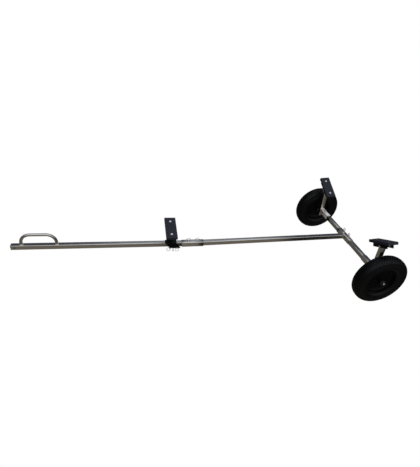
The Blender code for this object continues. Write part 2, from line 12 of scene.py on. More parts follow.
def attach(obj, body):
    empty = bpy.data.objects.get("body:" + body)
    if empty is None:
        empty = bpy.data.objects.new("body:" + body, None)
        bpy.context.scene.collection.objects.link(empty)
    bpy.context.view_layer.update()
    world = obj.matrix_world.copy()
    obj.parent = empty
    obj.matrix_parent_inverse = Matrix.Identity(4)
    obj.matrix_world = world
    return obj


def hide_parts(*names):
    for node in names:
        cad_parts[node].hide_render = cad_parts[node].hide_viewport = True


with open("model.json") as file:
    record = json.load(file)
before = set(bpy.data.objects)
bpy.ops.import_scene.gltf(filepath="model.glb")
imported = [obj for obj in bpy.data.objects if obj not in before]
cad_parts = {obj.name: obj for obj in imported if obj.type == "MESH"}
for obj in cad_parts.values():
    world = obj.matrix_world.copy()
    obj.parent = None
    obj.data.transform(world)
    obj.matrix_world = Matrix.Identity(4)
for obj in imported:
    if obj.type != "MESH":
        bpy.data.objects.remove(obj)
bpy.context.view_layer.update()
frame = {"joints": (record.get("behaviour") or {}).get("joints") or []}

# ------------------------------------------------------------------ driving dimensions, in metres
TUBE = 0.034                 # square tube, outside
WALL = 0.002
TUBE_CORNER = 0.0032
TUBE_INSIDE = TUBE - 2 * WALL
GAP = 0.0003                 # between pieces that touch
WHEEL_RADIUS = 0.200
WHEEL_Y = 0.500              # middle of the chassis to the middle of a wheel
AXLE_RISE = 0.027            # cross axle above the wheels' axis
REAR_LENGTH = 1.2865
FRONT_LENGTH = 1.2300
HITCH_BACK = 0.026           # hitch hole from the drawbar's front end
HANDLE_BACK = 0.066          # grab handle's first foot from the drawbar's front end
POST_Y = 0.420
POST_FOOT = -0.024
SOCKET_INNER_Y = 0.285
SOCKET_BORE = 0.0346
STUB_RADIUS = 0.0100
SIDE_PIVOT = 0.240           # pad pivot above the wheels' axis
SIDE_TILT = math.radians(29)
SIDE_POST_TOP = 0.0082
KEEL_PIVOT = 0.111           # pad pivot above the drawbar's axis
KEEL_TILT = math.radians(13.5)
KEEL_POST_TOP = 0.0105
SADDLE_BACK = 0.1710         # keel post to the middle of the coupling
PAD = (0.080, 0.198, 0.020)  # width, length, thickness
PAD_BOLT_Y = 0.0615
WEB_TOP = 0.0190             # outer face of a channel's web above its pivot
T_SLEEVE = (0.039, 0.035, 0.090)      # outside, inside, half length
CLAMP_Y = {"left": -0.045, "right": 0.027}
COUPLING = (0.0402, 0.0362, 0.165)    # outside, inside, length
COUPLING_PIN_X = 0.033
HUB_HALF = 0.043
PIN_EYE = 0.0065             # eye of a lock pin above the face it stands on
PIVOT_HOLE = 0.0054
CLAMP_HOLE = 0.0044

# ------------------------------------------------------------------ places, from the frame's joints
JOINTS = {joint["name"]: joint for joint in frame["joints"]}


def unit(vector):
    """A vector over its own length."""
    vector = np.asarray(vector, float)
    return vector / np.linalg.norm(vector)


def axes(origin, along, across=(0, 1, 0)):
    """A right-handed set of axes: X along, Y across, Z up from both."""
    x, y = unit(along), unit(across)
    z = np.cross(x, y)
    return np.asarray(origin, float), x, unit(np.cross(z, x)), unit(z)


def shifted(place, x=0.0, y=0.0, z=0.0):
    """The same axes, their origin moved along them."""
    origin, ex, ey, ez = place
    return origin + x * ex + y * ey + z * ez, ex, ey, ez


def rolled(place, angle):
    """The same axes turned about their own X."""
    origin, ex, ey, ez = place
    c, s = math.cos(angle), math.sin(angle)
    return origin, ex, c * ey + s * ez, c * ez - s * ey


def about(place):
    """The same axes turned half a turn about their own Z."""
    origin, ex, ey, ez = place
    return origin, -ex, -ey, ez


def standing(place, axis):
    """Axes whose Z is the named axis of `place`, for pieces turned about their own Z."""
    origin, ex, ey, ez = place
    if axis == "X":
        return origin, ey, ez, ex
    if axis == "Y":
        return origin, ez, ex, ey
    if axis == "-Y":
        return origin, ex, ez, -ey
    return place


def middle_of(joint_name):
    """A point on a joint's axis."""
    return np.array(JOINTS[joint_name]["pos_m"], float)


WORLD = (np.zeros(3), *np.eye(3))
WHEELS = {side: middle_of(f"wheel_{side}_spin") for side in ("left", "right")}
AXLE_MIDDLE = (WHEELS["left"] + WHEELS["right"]) / 2
CHASSIS = axes(AXLE_MIDDLE, np.cross((0, 1, 0), JOINTS["clamp_screw_right_turn"]["axis"]))
LEANING = axes(AXLE_MIDDLE, JOINTS["side_right_pad_rock"]["axis"])
SADDLE = shifted(
    axes(middle_of("keel_pad_rock"), JOINTS["keel_pad_rock"]["axis"]), z=-KEEL_PIVOT
)
FRONT = shifted(SADDLE, x=SADDLE_BACK)
COUPLING_PLACE = shifted(
    axes(
        (middle_of("coupling_ring_front_swing") + middle_of("coupling_ring_rear_swing")) / 2,
        JOINTS["coupling_ring_front_swing"]["axis"],
    ),
    z=-COUPLING[0] / 2 - PIN_EYE,
)
SIDES = {"right": CHASSIS, "left": about(CHASSIS)}
POSTS = {"right": LEANING, "left": about(LEANING)}


# ------------------------------------------------------------------ computed surfaces
def to_world(place, points):
    """Points given in a place's own axes, as row-frame points."""
    origin, ex, ey, ez = place
    points = np.asarray(points, float)
    return origin + points[..., :1] * ex + points[..., 1:2] * ey + points[..., 2:3] * ez


def quads(rows, columns, wrap_rows, wrap_columns):
    """Corner indices of every cell of a grid of points, row by row."""
    i = np.arange(rows if wrap_rows else rows - 1)[:, None]
    j = np.arange(columns if wrap_columns else columns - 1)[None, :]
    below, after = (i + 1) % rows, (j + 1) % columns
    cells = [i * columns + j, i * columns + after, below * columns + after, below * columns + j]
    return np.stack([np.broadcast_to(c, (i.size, j.size)) for c in cells], -1).reshape(-1, 4)


def mesh_object(name, grids, sharp=35.0, values=None):
    """One object from several grids (points, wrap rows, wrap columns): their doubles merged, the
    faces turned outwards and shaded smooth, apart from edges sharper than `sharp` degrees."""
    points, faces, offset = [], [], 0
    for grid, wrap_rows, wrap_columns in grids:
        rows, columns = grid.shape[:2]
        points.append(grid.reshape(-1, 3))
        faces.append(quads(rows, columns, wrap_rows, wrap_columns) + offset)
        offset += rows * columns
    points, faces = np.concatenate(points), np.concatenate(faces)
    mesh = bpy.data.meshes.new(name)
    mesh.vertices.add(len(points))
    mesh.vertices.foreach_set("co", points.astype(np.float32).ravel())
    mesh.loops.add(faces.size)
    mesh.loops.foreach_set("vertex_index", faces.astype(np.int32).ravel())
    mesh.polygons.add(len(faces))
    mesh.polygons.foreach_set("loop_start", np.arange(0, faces.size, 4, dtype=np.int32))
    mesh.update(calc_edges=True)
    if values is not None:
        layer = mesh.attributes.new("groove", "FLOAT", "POINT")
        layer.data.foreach_set("value", np.asarray(values, np.float32).ravel())
    shape = bmesh.new()
    shape.from_mesh(mesh)
    bmesh.ops.remove_doubles(shape, verts=shape.verts, dist=2e-6)
    bmesh.ops.dissolve_degenerate(shape, dist=1e-7, edges=shape.edges)
    bmesh.ops.recalc_face_normals(shape, faces=shape.faces)
    shape.to_mesh(mesh)
    shape.free()
    mesh.shade_smooth()
    mesh.set_sharp_from_angle(angle=math.radians(sharp))
    piece = bpy.data.objects.new(name, mesh)
    bpy.context.scene.collection.objects.link(piece)
    return piece


def circle(radius, count):
    """Outline of a circle: (radius cos t, radius sin t) for `count` equal steps of t."""
    angle = np.linspace(0, 2 * math.pi, count, endpoint=False)
    return np.stack([radius * np.cos(angle), radius * np.sin(angle)], -1)


def rounded_square(half, corner, steps=6):
    """Square outline of half width `half`, each corner an arc of `steps` chords."""
    turn = np.linspace(0, math.pi / 2, steps + 1)
    quarter = np.stack([half - corner + corner * np.cos(turn), half - corner + corner * np.sin(turn)], -1)
    sides = []
    for k in range(4):
        c, s = round(math.cos(k * math.pi / 2)), round(math.sin(k * math.pi / 2))
        sides.append(quarter @ np.array([[c, s], [-s, c]]))
    return np.concatenate(sides)


def turned(place, profile, count=48, shape=None):
    """Surface of revolution about a place's Z: each (radius, height) of the profile becomes a
    circle. `shape` may change the radii, as a function of (radii, angles)."""
    profile = np.asarray(profile, float)
    angle = np.linspace(0, 2 * math.pi, count, endpoint=False)
    radius = np.repeat(profile[:, :1], count, axis=1)
    if shape is not None:
        radius = shape(radius, angle)
    height = np.repeat(profile[:, 1:], count, axis=1)
    return to_world(place, np.stack([radius * np.cos(angle), radius * np.sin(angle), height], -1))


def rounded_profile(points, radius, steps=3):
    """A closed profile with each corner cut to a small arc (a quadratic curve through it)."""
    points = np.asarray(points, float)
    out = []
    for k, corner in enumerate(points):
        before, after = points[k - 1], points[(k + 1) % len(points)]
        to_before, to_after = before - corner, after - corner
        reach = min(radius, 0.45 * np.linalg.norm(to_before), 0.45 * np.linalg.norm(to_after))
        a, b = corner + unit(to_before) * reach, corner + unit(to_after) * reach
        for t in np.linspace(0, 1, steps + 1):
            out.append((1 - t) ** 2 * a + 2 * t * (1 - t) * corner + t * t * b)
    return np.array(out)


def ring_solid(name, place, profile, count=48, edge=0.0004, shape=None):
    """A turned ring with a closed profile and softened corners."""
    profile = rounded_profile(profile, edge) if edge else np.asarray(profile, float)
    return mesh_object(name, [(turned(place, profile, count, shape), True, True)])


def swept(place, path, sideways, section, closed=False, scale=None):
    """A section (a, b) carried along a path in a place's axes: `a` runs along `sideways`, `b` along
    the path's direction crossed with it. `scale` grows or shrinks the section at each path point."""
    path, sideways = np.asarray(path, float), np.asarray(sideways, float)
    if closed:
        direction = np.roll(path, -1, 0) - np.roll(path, 1, 0)
    else:
        direction = np.gradient(path, axis=0)
    direction /= np.linalg.norm(direction, axis=1, keepdims=True)
    side = np.broadcast_to(sideways, path.shape)
    side = side - (side * direction).sum(1, keepdims=True) * direction
    side /= np.linalg.norm(side, axis=1, keepdims=True)
    up = np.cross(direction, side)
    size = np.ones(len(path)) if scale is None else np.asarray(scale, float)
    offset = section[None, :, :1] * side[:, None] + section[None, :, 1:] * up[:, None]
    return to_world(place, path[:, None] + offset * size[:, None, None])


def square_tube(name, place, outer, inner, start, end, corner=TUBE_CORNER):
    """A square tube along its place's X, its two walls joined by softly broken end edges."""
    lip = 0.0004
    inner_corner = max(corner - (outer - inner) / 2, 0.0012)
    stations = [
        (outer / 2 - lip, start, corner), (outer / 2, start + lip, corner),
        (outer / 2, end - lip, corner), (outer / 2 - lip, end, corner),
        (inner / 2 + lip / 2, end, inner_corner), (inner / 2, end - lip / 2, inner_corner),
        (inner / 2, start + lip / 2, inner_corner), (inner / 2 + lip / 2, start, inner_corner),
    ]
    rows = []
    for half, x, radius in stations:
        outline = rounded_square(half, radius)
        rows.append(np.concatenate([np.full((len(outline), 1), x), outline], -1))
    return mesh_object(name, [(to_world(place, np.array(rows)), True, True)], sharp=50)


def along_axis(place, axis):
    """Axes whose X is the named axis of `place`, for tubes laid along their own X."""
    origin, ex, ey, ez = place
    if axis == "Y":
        return origin, ey, ez, ex
    if axis == "Z":
        return origin, ez, ex, ey
    return place


def torus(name, place, radius, wire, count=56, facets=12):
    """A wire ring round the place's Z."""
    profile = circle(wire, facets) + np.array([radius, 0])
    return mesh_object(name, [(turned(place, profile, count), True, True)])


def carve(piece, cutters, sharp=35.0):
    """Cuts the cutters out of a piece and removes them, leaving a plain mesh."""
    for cutter in cutters:
        step = piece.modifiers.new("cut", "BOOLEAN")
        step.operation = "DIFFERENCE"
        step.solver = "EXACT"
        step.object = cutter
    bpy.context.view_layer.update()
    graph = bpy.context.evaluated_depsgraph_get()
    mesh = bpy.data.meshes.new_from_object(piece.evaluated_get(graph))
    piece.modifiers.clear()
    piece.data = mesh
    mesh.shade_smooth()
    mesh.set_sharp_from_angle(angle=math.radians(sharp))
    for cutter in cutters:
        bpy.data.objects.remove(cutter)
    return piece


def drill_tool(place, radius, start, end, count=32):
    """A round cutter along a place's Z."""
    profile = [(0, start), (radius, start), (radius, end), (0, end)]
    return mesh_object("tool", [(turned(place, profile, count), False, True)])


# ------------------------------------------------------------------ materials
def bare_material(name, colour, metallic, roughness):
    """A new material with its shader's even values set."""
    made = bpy.data.materials.new(name)
    made.use_nodes = True
    shader = made.node_tree.nodes["Principled BSDF"]
    shader.inputs["Base Color"].default_value = (*colour, 1)
    shader.inputs["Metallic"].default_value = metallic
    shader.inputs["Roughness"].default_value = roughness
    return made, made.node_tree, shader


def local_coordinates(tree, scale, pitch=0.0):
    """Object coordinates turned back by a piece's pitch, then multiplied by `scale` per axis."""
    source = tree.nodes.new("ShaderNodeTexCoord")
    mapping = tree.nodes.new("ShaderNodeMapping")
    mapping.vector_type = "TEXTURE"
    mapping.inputs["Rotation"].default_value = (0, -pitch, 0)
    mapping.inputs["Scale"].default_value = tuple(1 / s for s in scale)
    tree.links.new(source.outputs["Object"], mapping.inputs["Vector"])
    return mapping.outputs["Vector"]


def noise(tree, vector, scale=1.0, detail=4.0, roughness=0.6, distortion=0.0):
    """Cloudy noise from 0 to 1."""
    node = tree.nodes.new("ShaderNodeTexNoise")
    node.inputs["Scale"].default_value = scale
    node.inputs["Detail"].default_value = detail
    node.inputs["Roughness"].default_value = roughness
    node.inputs["Distortion"].default_value = distortion
    tree.links.new(vector, node.inputs["Vector"])
    return node.outputs["Fac"]


def spread(tree, value, low, high, to_low, to_high, smooth=False):
    """Maps a value from one range to another."""
    node = tree.nodes.new("ShaderNodeMapRange")
    node.interpolation_type = "SMOOTHSTEP" if smooth else "LINEAR"
    for socket, number in zip(("From Min", "From Max", "To Min", "To Max"), (low, high, to_low, to_high)):
        node.inputs[socket].default_value = number
    tree.links.new(value, node.inputs["Value"])
    return node.outputs["Result"]


def blended(tree, factor, first, second):
    """Colour mix by a factor; either colour may be a socket or three numbers."""
    node = tree.nodes.new("ShaderNodeMix")
    node.data_type = "RGBA"
    tree.links.new(factor, node.inputs["Factor"])
    for socket, colour in ((node.inputs[6], first), (node.inputs[7], second)):
        if isinstance(colour, tuple):
            socket.default_value = (*colour, 1)
        else:
            tree.links.new(colour, socket)
    return node.outputs[2]


def combined(tree, operation, first, second):
    """One sum or product; either value may be a socket or a number."""
    node = tree.nodes.new("ShaderNodeMath")
    node.operation = operation
    for socket, value in zip(node.inputs, (first, second)):
        if isinstance(value, (int, float)):
            socket.default_value = value
        else:
            tree.links.new(value, socket)
    return node.outputs[0]


def bumped(tree, shader, height, strength, distance):
    """Lets a height value tilt the shader's normal."""
    node = tree.nodes.new("ShaderNodeBump")
    node.inputs["Strength"].default_value = strength
    node.inputs["Distance"].default_value = distance
    tree.links.new(height, node.inputs["Height"])
    tree.links.new(node.outputs["Normal"], shader.inputs["Normal"])


# streaks per metre along X, Y and Z for tube drawn along the named axis
GRAIN = {"X": (9, 900, 900), "Y": (900, 9, 900), "Z": (900, 900, 9)}


def stainless(name, grain, pitch=0.0, shade=(0.50, 0.49, 0.47), roughness=0.22):
    """Drawn stainless tube: fine streaks along its length, cloudy roughness, a few handling smears."""
    made, tree, shader = bare_material(name, shade, 1.0, roughness)
    streaks = noise(tree, local_coordinates(tree, GRAIN[grain], pitch), detail=3, roughness=0.7)
    broad = tuple(s * 0.12 for s in GRAIN[grain])
    bands = noise(tree, local_coordinates(tree, broad, pitch), detail=4)
    clouds = noise(tree, local_coordinates(tree, (14, 14, 14), pitch), detail=6, distortion=0.4)
    smears = noise(tree, local_coordinates(tree, (55, 55, 55), pitch), detail=5, distortion=1.2)
    dark, light = tuple(s * 0.93 for s in shade), tuple(min(1, s * 1.05) for s in shade)
    tone = spread(tree, combined(tree, "ADD", streaks, bands), 0.7, 1.3, 0, 1)
    colour = blended(tree, tone, dark, light)
    stain = spread(tree, smears, 0.60, 0.80, 0, 0.30, True)
    warm = tuple(s * f for s, f in zip(shade, (0.80, 0.74, 0.64)))
    tree.links.new(blended(tree, stain, colour, warm), shader.inputs["Base Color"])
    rough = combined(tree, "MULTIPLY", spread(tree, clouds, 0.3, 0.7, 0.85, 1.2), roughness)
    rough = combined(tree, "ADD", rough, spread(tree, streaks, 0.3, 0.7, -0.03, 0.03))
    tree.links.new(rough, shader.inputs["Roughness"])
    bumped(tree, shader, streaks, 0.02, 0.0002)
    return made


def sanded_stainless(name, shade=(0.80, 0.79, 0.76)):
    """Stainless ground down round the welds: whitish, matt, cross-scratched and mottled."""
    made, tree, shader = bare_material(name, shade, 0.75, 0.55)
    scratches = noise(tree, local_coordinates(tree, (260, 90, 900)), detail=4, distortion=2.5)
    crossing = noise(tree, local_coordinates(tree, (90, 700, 160)), detail=4, distortion=2.0)
    mottle = noise(tree, local_coordinates(tree, (38, 38, 38)), detail=7, roughness=0.7)
    tone = spread(tree, combined(tree, "ADD", scratches, crossing), 0.75, 1.25, 0, 1)
    dark, light = tuple(s * 0.80 for s in shade), tuple(min(1, s * 1.08) for s in shade)
    colour = blended(tree, tone, dark, light)
    patch = spread(tree, mottle, 0.5, 0.75, 0, 0.6, True)
    tree.links.new(blended(tree, patch, colour, (0.55, 0.53, 0.49)), shader.inputs["Base Color"])
    tree.links.new(spread(tree, mottle, 0.3, 0.7, 0.62, 0.42), shader.inputs["Roughness"])
    bumped(tree, shader, combined(tree, "ADD", scratches, crossing), 0.16, 0.0004)
    return made


def weld_metal(name):
    """Bright weld bead with straw and blue heat tint in patches."""
    made, tree, shader = bare_material(name, (0.72, 0.70, 0.66), 1.0, 0.38)
    tint = noise(tree, local_coordinates(tree, (120, 120, 120)), detail=3)
    straw = blended(tree, spread(tree, tint, 0.45, 0.65, 0, 0.7), (0.76, 0.74, 0.70), (0.62, 0.50, 0.34))
    blue = spread(tree, tint, 0.62, 0.75, 0, 0.6)
    tree.links.new(blended(tree, blue, straw, (0.34, 0.36, 0.46)), shader.inputs["Base Color"])
    grain = noise(tree, local_coordinates(tree, (900, 900, 900)), detail=3)
    tree.links.new(spread(tree, grain, 0.3, 0.7, 0.30, 0.50), shader.inputs["Roughness"])
    bumped(tree, shader, grain, 0.25, 0.0002)
    return made


def zinc_plate(name, shade=(0.72, 0.72, 0.71)):
    """Zinc-plated or polished hardware: bright, with dull cloudy spots and tool marks."""
    made, tree, shader = bare_material(name, shade, 1.0, 0.28)
    clouds = noise(tree, local_coordinates(tree, (160, 160, 160)), detail=6)
    marks = noise(tree, local_coordinates(tree, (1500, 400, 1500)), detail=2, distortion=1)
    dull = tuple(s * 0.62 for s in shade)
    tree.links.new(
        blended(tree, spread(tree, clouds, 0.48, 0.7, 0, 0.8, True), shade, dull),
        shader.inputs["Base Color"],
    )
    tree.links.new(spread(tree, clouds, 0.3, 0.7, 0.20, 0.46), shader.inputs["Roughness"])
    bumped(tree, shader, marks, 0.10, 0.0002)
    return made


def black_paint(name, shade=(0.0025, 0.0026, 0.0034)):
    """Sprayed black enamel on steel: slight orange peel, dust, and rubbed grey patches."""
    made, tree, shader = bare_material(name, shade, 0.0, 0.38)
    shader.inputs["Specular IOR Level"].default_value = 0.07
    peel = noise(tree, local_coordinates(tree, (420, 420, 420)), detail=2)
    patch_noise = noise(tree, local_coordinates(tree, (26, 26, 26)), detail=8, roughness=0.7)
    rubbed = noise(tree, local_coordinates(tree, (75, 75, 75)), detail=6, distortion=0.8)
    dusty = blended(tree, spread(tree, patch_noise, 0.45, 0.75, 0, 0.55, True), shade, (0.010, 0.0095, 0.009))
    worn = spread(tree, rubbed, 0.66, 0.74, 0, 0.5, True)
    tree.links.new(blended(tree, worn, dusty, (0.022, 0.022, 0.023)), shader.inputs["Base Color"])
    tree.links.new(spread(tree, patch_noise, 0.3, 0.7, 0.30, 0.52), shader.inputs["Roughness"])
    bumped(tree, shader, peel, 0.12, 0.0004)
    return made


def pad_rubber(name):
    """Firm closed-cell board with a matt pebbled skin and scuffed, paler patches."""
    shade = (0.017, 0.018, 0.027)
    made, tree, shader = bare_material(name, shade, 0.0, 0.62)
    shader.inputs["Specular IOR Level"].default_value = 0.15
    pebble = noise(tree, local_coordinates(tree, (650, 650, 650)), detail=3)
    scuff = noise(tree, local_coordinates(tree, (45, 14, 45)), detail=8, roughness=0.7, distortion=0.6)
    patch = spread(tree, scuff, 0.46, 0.78, 0, 0.8, True)
    tree.links.new(blended(tree, patch, shade, (0.026, 0.028, 0.040)), shader.inputs["Base Color"])
    tree.links.new(spread(tree, scuff, 0.3, 0.7, 0.50, 0.72), shader.inputs["Roughness"])
    bumped(tree, shader, pebble, 0.30, 0.0005)
    return made


def tyre_rubber(name):
    """Black rubber with a painted cool bluish sheen in cloudy patches, standing in for the sky's reflection
    on the tread; the grooves hold brown dust.
    """
    shade = (0.0016, 0.0019, 0.0026)
    made, tree, shader = bare_material(name, shade, 0.0, 0.5)
    shader.inputs["Specular IOR Level"].default_value = 0.16
    depth = tree.nodes.new("ShaderNodeAttribute")
    depth.attribute_name = "groove"
    grain = noise(tree, local_coordinates(tree, (500, 500, 500)), detail=4)
    # this noise sets both the brown dust in the grooves and the patches of painted bluish sheen
    patch_noise = noise(tree, local_coordinates(tree, (70, 70, 70)), detail=7, roughness=0.7)
    settled = combined(tree, "MULTIPLY", depth.outputs["Fac"], spread(tree, patch_noise, 0.3, 0.7, 0.2, 0.9))
    dirty = blended(tree, settled, shade, (0.0032, 0.0031, 0.0030))
    # painted sheen: cloudy patches of a cool bluish colour stand in for the sky's reflection on the rubber
    painted_sheen = spread(tree, patch_noise, 0.5, 0.8, 0, 0.35, True)
    tree.links.new(blended(tree, painted_sheen, dirty, (0.003, 0.0038, 0.0055)), shader.inputs["Base Color"])
    tree.links.new(spread(tree, patch_noise, 0.3, 0.7, 0.34, 0.54), shader.inputs["Roughness"])
    bumped(tree, shader, grain, 0.18, 0.0004)
    return made


def nylon(name):
    """Dark moulded nylon with a faint flow texture."""
    made, tree, shader = bare_material(name, (0.040, 0.040, 0.042), 0.0, 0.45)
    flow = noise(tree, local_coordinates(tree, (180, 180, 60)), detail=5, distortion=1.5)
    tree.links.new(
        blended(tree, spread(tree, flow, 0.3, 0.7, 0, 1), (0.030, 0.030, 0.032), (0.055, 0.055, 0.056)),
        shader.inputs["Base Color"],
    )
    tree.links.new(spread(tree, flow, 0.3, 0.7, 0.38, 0.55), shader.inputs["Roughness"])
    bumped(tree, shader, flow, 0.08, 0.0003)
    return made


CHASSIS_PITCH = math.asin(CHASSIS[1][2])
FRONT_PITCH = math.asin(FRONT[1][2])
FINISHES = {
    "rear tube": stainless("stainless_rear_tube", "X", CHASSIS_PITCH),
    "front tube": stainless("stainless_front_tube", "X", FRONT_PITCH),
    "cross tube": stainless("stainless_cross_tube", "Y", shade=(0.50, 0.48, 0.45), roughness=0.13),
    "sleeve": stainless("stainless_sleeve", "X", CHASSIS_PITCH, (0.58, 0.57, 0.55), 0.24),
    "cross sleeve": stainless("stainless_cross_sleeve", "Y", shade=(0.52, 0.51, 0.48), roughness=0.14),
    "post": stainless("stainless_post", "Z", CHASSIS_PITCH, (0.56, 0.54, 0.50), 0.13),
    "handle": stainless("stainless_handle", "X", FRONT_PITCH, (0.40, 0.385, 0.36), 0.20),
    "ground": sanded_stainless("stainless_ground"),
    "weld": weld_metal("weld_bead"),
    "zinc": zinc_plate("zinc_hardware", (0.42, 0.42, 0.42)),
    "bright": zinc_plate("bright_hardware", (0.60, 0.60, 0.60)),
    "dull": zinc_plate("dull_hardware", (0.13, 0.13, 0.135)),
    "wire": zinc_plate("ring_wire", (0.016, 0.016, 0.016)),
    "black": black_paint("black_enamel"),
    "pad": pad_rubber("pad_board"),
    "tyre": tyre_rubber("tyre_rubber"),
    "nylon": nylon("dark_nylon"),
}


def fit(piece, finish, body, *nodes):
    """Gives a piece its finish and body, and lets it stand for CAD nodes."""
    piece.data.materials.clear()
    piece.data.materials.append(FINISHES[finish])
    if nodes:
        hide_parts(*nodes)
    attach(piece, body)
    return piece


# ------------------------------------------------------------------ welds
def bead(name, place, path, body, closed=True, radius=0.0021, finish="weld"):
    """A fillet weld: a small round section along a path, its width rippling like laid coins."""
    path = np.asarray(path, float)
    lengths = np.concatenate([[0], np.cumsum(np.linalg.norm(np.diff(path, axis=0), axis=1))])
    ripple = 1 + 0.10 * np.sin(lengths / 0.0011) + 0.07 * np.sin(lengths / 0.0083 + 1)
    section = circle(radius, 10)
    direction = unit(np.cross(path[len(path) // 4] - path[0], path[len(path) // 2] - path[0]))
    grid = swept(place, path, direction, section, closed, ripple)
    if not closed:
        grid = capped(grid)
    piece = mesh_object(name, [(grid, closed, True)], sharp=80)
    return fit(piece, finish, body)


def capped(grid):
    """A swept grid closed at both ends by drawing its end rows into their centres."""
    first = np.broadcast_to(grid[0].mean(0), grid[0].shape)[None]
    last = np.broadcast_to(grid[-1].mean(0), grid[-1].shape)[None]
    return np.concatenate([first, grid, last])


def rectangle_path(half_a, half_b, plane, corner=0.003, step=0.0006):
    """Closed rectangle with round corners; `plane` names its two axes, such as "YZ"."""
    outline = rounded_rectangle(half_a, half_b, corner, 6)
    lengths = np.linalg.norm(np.roll(outline, -1, 0) - outline, axis=1)
    points = []
    for start, stop, length in zip(outline, np.roll(outline, -1, 0), lengths):
        count = max(1, int(length / step))
        points += [start + (stop - start) * k / count for k in range(count)]
    return in_plane(np.array(points), plane)


def in_plane(points, plane):
    """Flat points (a, b) laid in the plane of two named axes."""
    placed = np.zeros((len(points), 3))
    for column, axis in enumerate(plane):
        placed[:, "XYZ".index(axis)] = points[:, column]
    return placed


def rounded_rectangle(half_a, half_b, corner, steps=4):
    """Rectangle outline with a quarter arc of `steps` chords at each corner."""
    turn = np.linspace(0, math.pi / 2, steps + 1)
    points = []
    for k in range(4):
        angle = turn + k * math.pi / 2
        a = (half_a - corner) * (1 if k in (0, 3) else -1)
        b = (half_b - corner) * (1 if k in (0, 1) else -1)
        points.append(np.stack([a + corner * np.cos(angle), b + corner * np.sin(angle)], -1))
    return np.concatenate(points)


# ------------------------------------------------------------------ drawbar
def drawbar():
    """Rear and front tube in the coupling sleeve, the end plug, the handle and the weld at the T."""
    chassis = shifted(CHASSIS, z=AXLE_RISE)
    rear = square_tube(
        "rear_tube", chassis, TUBE, TUBE_INSIDE, -REAR_LENGTH + 0.001, -T_SLEEVE[0] / 2 - GAP
    )
    ahead = square_tube("front_tube", FRONT, TUBE, TUBE_INSIDE, -FRONT_LENGTH + 0.0023, -0.001)
    sleeve = square_tube(
        "coupling", COUPLING_PLACE, COUPLING[0], COUPLING[1], -COUPLING[2] / 2, COUPLING[2] / 2, 0.0042
    )
    for x, tube in ((-COUPLING_PIN_X, ahead), (COUPLING_PIN_X, rear)):
        for piece in (sleeve, tube):
            carve(piece, [drill_tool(shifted(COUPLING_PLACE, x=x), 0.0044, -0.03, 0.03)], 50)
    hitch = standing(shifted(FRONT, x=-FRONT_LENGTH + HITCH_BACK), "Y")
    carve(ahead, [drill_tool(hitch, 0.0045, -0.03, 0.03)], 50)
    fit(rear, "rear tube", "drawbar", "rear_drawbar_tube")
    fit(ahead, "front tube", "drawbar", "front_drawbar_tube")
    fit(sleeve, "sleeve", "drawbar", "coupling_sleeve")
    end_plug()
    grab_handle()
    around = rectangle_path(TUBE / 2 + 0.0002, TUBE / 2 + 0.0002, "YZ")
    joint = shifted(chassis, x=-T_SLEEVE[0] / 2 - 0.0004)
    bead("weld_drawbar_to_sleeve", joint, around, "drawbar", radius=0.0019)


def end_plug():
    """Moulded plug: rounded squares stacked along X, from the flange's face to the shank's end."""
    half, shank, depth = TUBE / 2, TUBE / 2 - 0.0025, 0.015
    stations = [
        (0.0, half - 0.0008, 0.0028), (0.0006, half, 0.0032), (0.0016, half, 0.0032),
        (0.002, half - 0.0004, 0.003), (0.002, shank, 0.0012), (depth, shank, 0.0012),
    ]
    outlines = [rounded_square(side, corner) for _, side, corner in stations]
    rows = [
        np.concatenate([np.full((len(outline), 1), x), outline], -1)
        for (x, _, _), outline in zip(stations, outlines)
    ]
    rows = [np.zeros_like(rows[0])] + rows + [np.broadcast_to([depth, 0, 0], rows[0].shape)]
    place = shifted(FRONT, x=-FRONT_LENGTH)
    plug = mesh_object("end_plug", [(to_world(place, np.array(rows)), False, True)])
    fit(plug, "nylon", "drawbar", "drawbar_end_plug")


def grab_handle():
    """Bent tube: two legs, two bends and a grip, swept along straight lines and quarter arcs."""
    half, bend, top = 0.110, 0.062, TUBE / 2 + 0.077
    foot = TUBE / 2 + GAP
    corner = np.linspace(math.pi, math.pi / 2, 25)
    left = np.stack([-half + bend + bend * np.cos(corner), top - bend + bend * np.sin(corner)], -1)
    right = left[::-1] * [-1, 1]
    leg = np.linspace(foot, top - bend, 6)[:-1]
    grip = np.linspace(-half + bend, half - bend, 12)[1:-1]
    line = np.concatenate([
        np.stack([np.full(5, -half), leg], -1), left,
        np.stack([grip, np.full(len(grip), top)], -1), right,
        np.stack([np.full(5, half), leg[::-1]], -1),
    ])
    path = in_plane(line, "XZ")
    place = shifted(FRONT, x=-FRONT_LENGTH + HANDLE_BACK + half)
    outer = swept(place, path, (0, 1, 0), circle(0.010, 32))
    inner = swept(place, path, (0, 1, 0), circle(0.008, 32))
    piece = mesh_object("handle", [(np.concatenate([outer, inner[::-1]]), True, True)], sharp=60)
    fit(piece, "handle", "drawbar", "grab_handle")
    for end, x in (("front", -half), ("rear", half)):
        ring = in_plane(circle(0.0108, 72), "XY") + np.array([x, 0, TUBE / 2 + 0.0006])
        bead(f"weld_handle_{end}", place, ring, "drawbar", radius=0.0020)


# ------------------------------------------------------------------ rocking pads
def rounded_block(half_x, half_y, low, high, edge):
    """Rows of a block with rolled edges: outlines from the middle of one face to the other."""
    turn = np.linspace(0, math.pi / 2, 5)
    rows = [(0, low), (0.6, low)]
    rows += [(1, low + edge - edge * math.cos(t), edge - edge * math.sin(t)) for t in turn]
    rows += [(1, high - edge + edge * math.sin(t), edge - edge * math.cos(t)) for t in turn]
    rows += [(0.6, high), (0, high)]
    out = []
    for row in rows:
        inset = row[2] if len(row) > 2 else edge
        outline = rounded_rectangle(half_x - inset, half_y - inset, 0.0022, 4)
        out.append(np.concatenate([outline * row[0], np.full((len(outline), 1), row[1])], -1))
    return np.array(out)


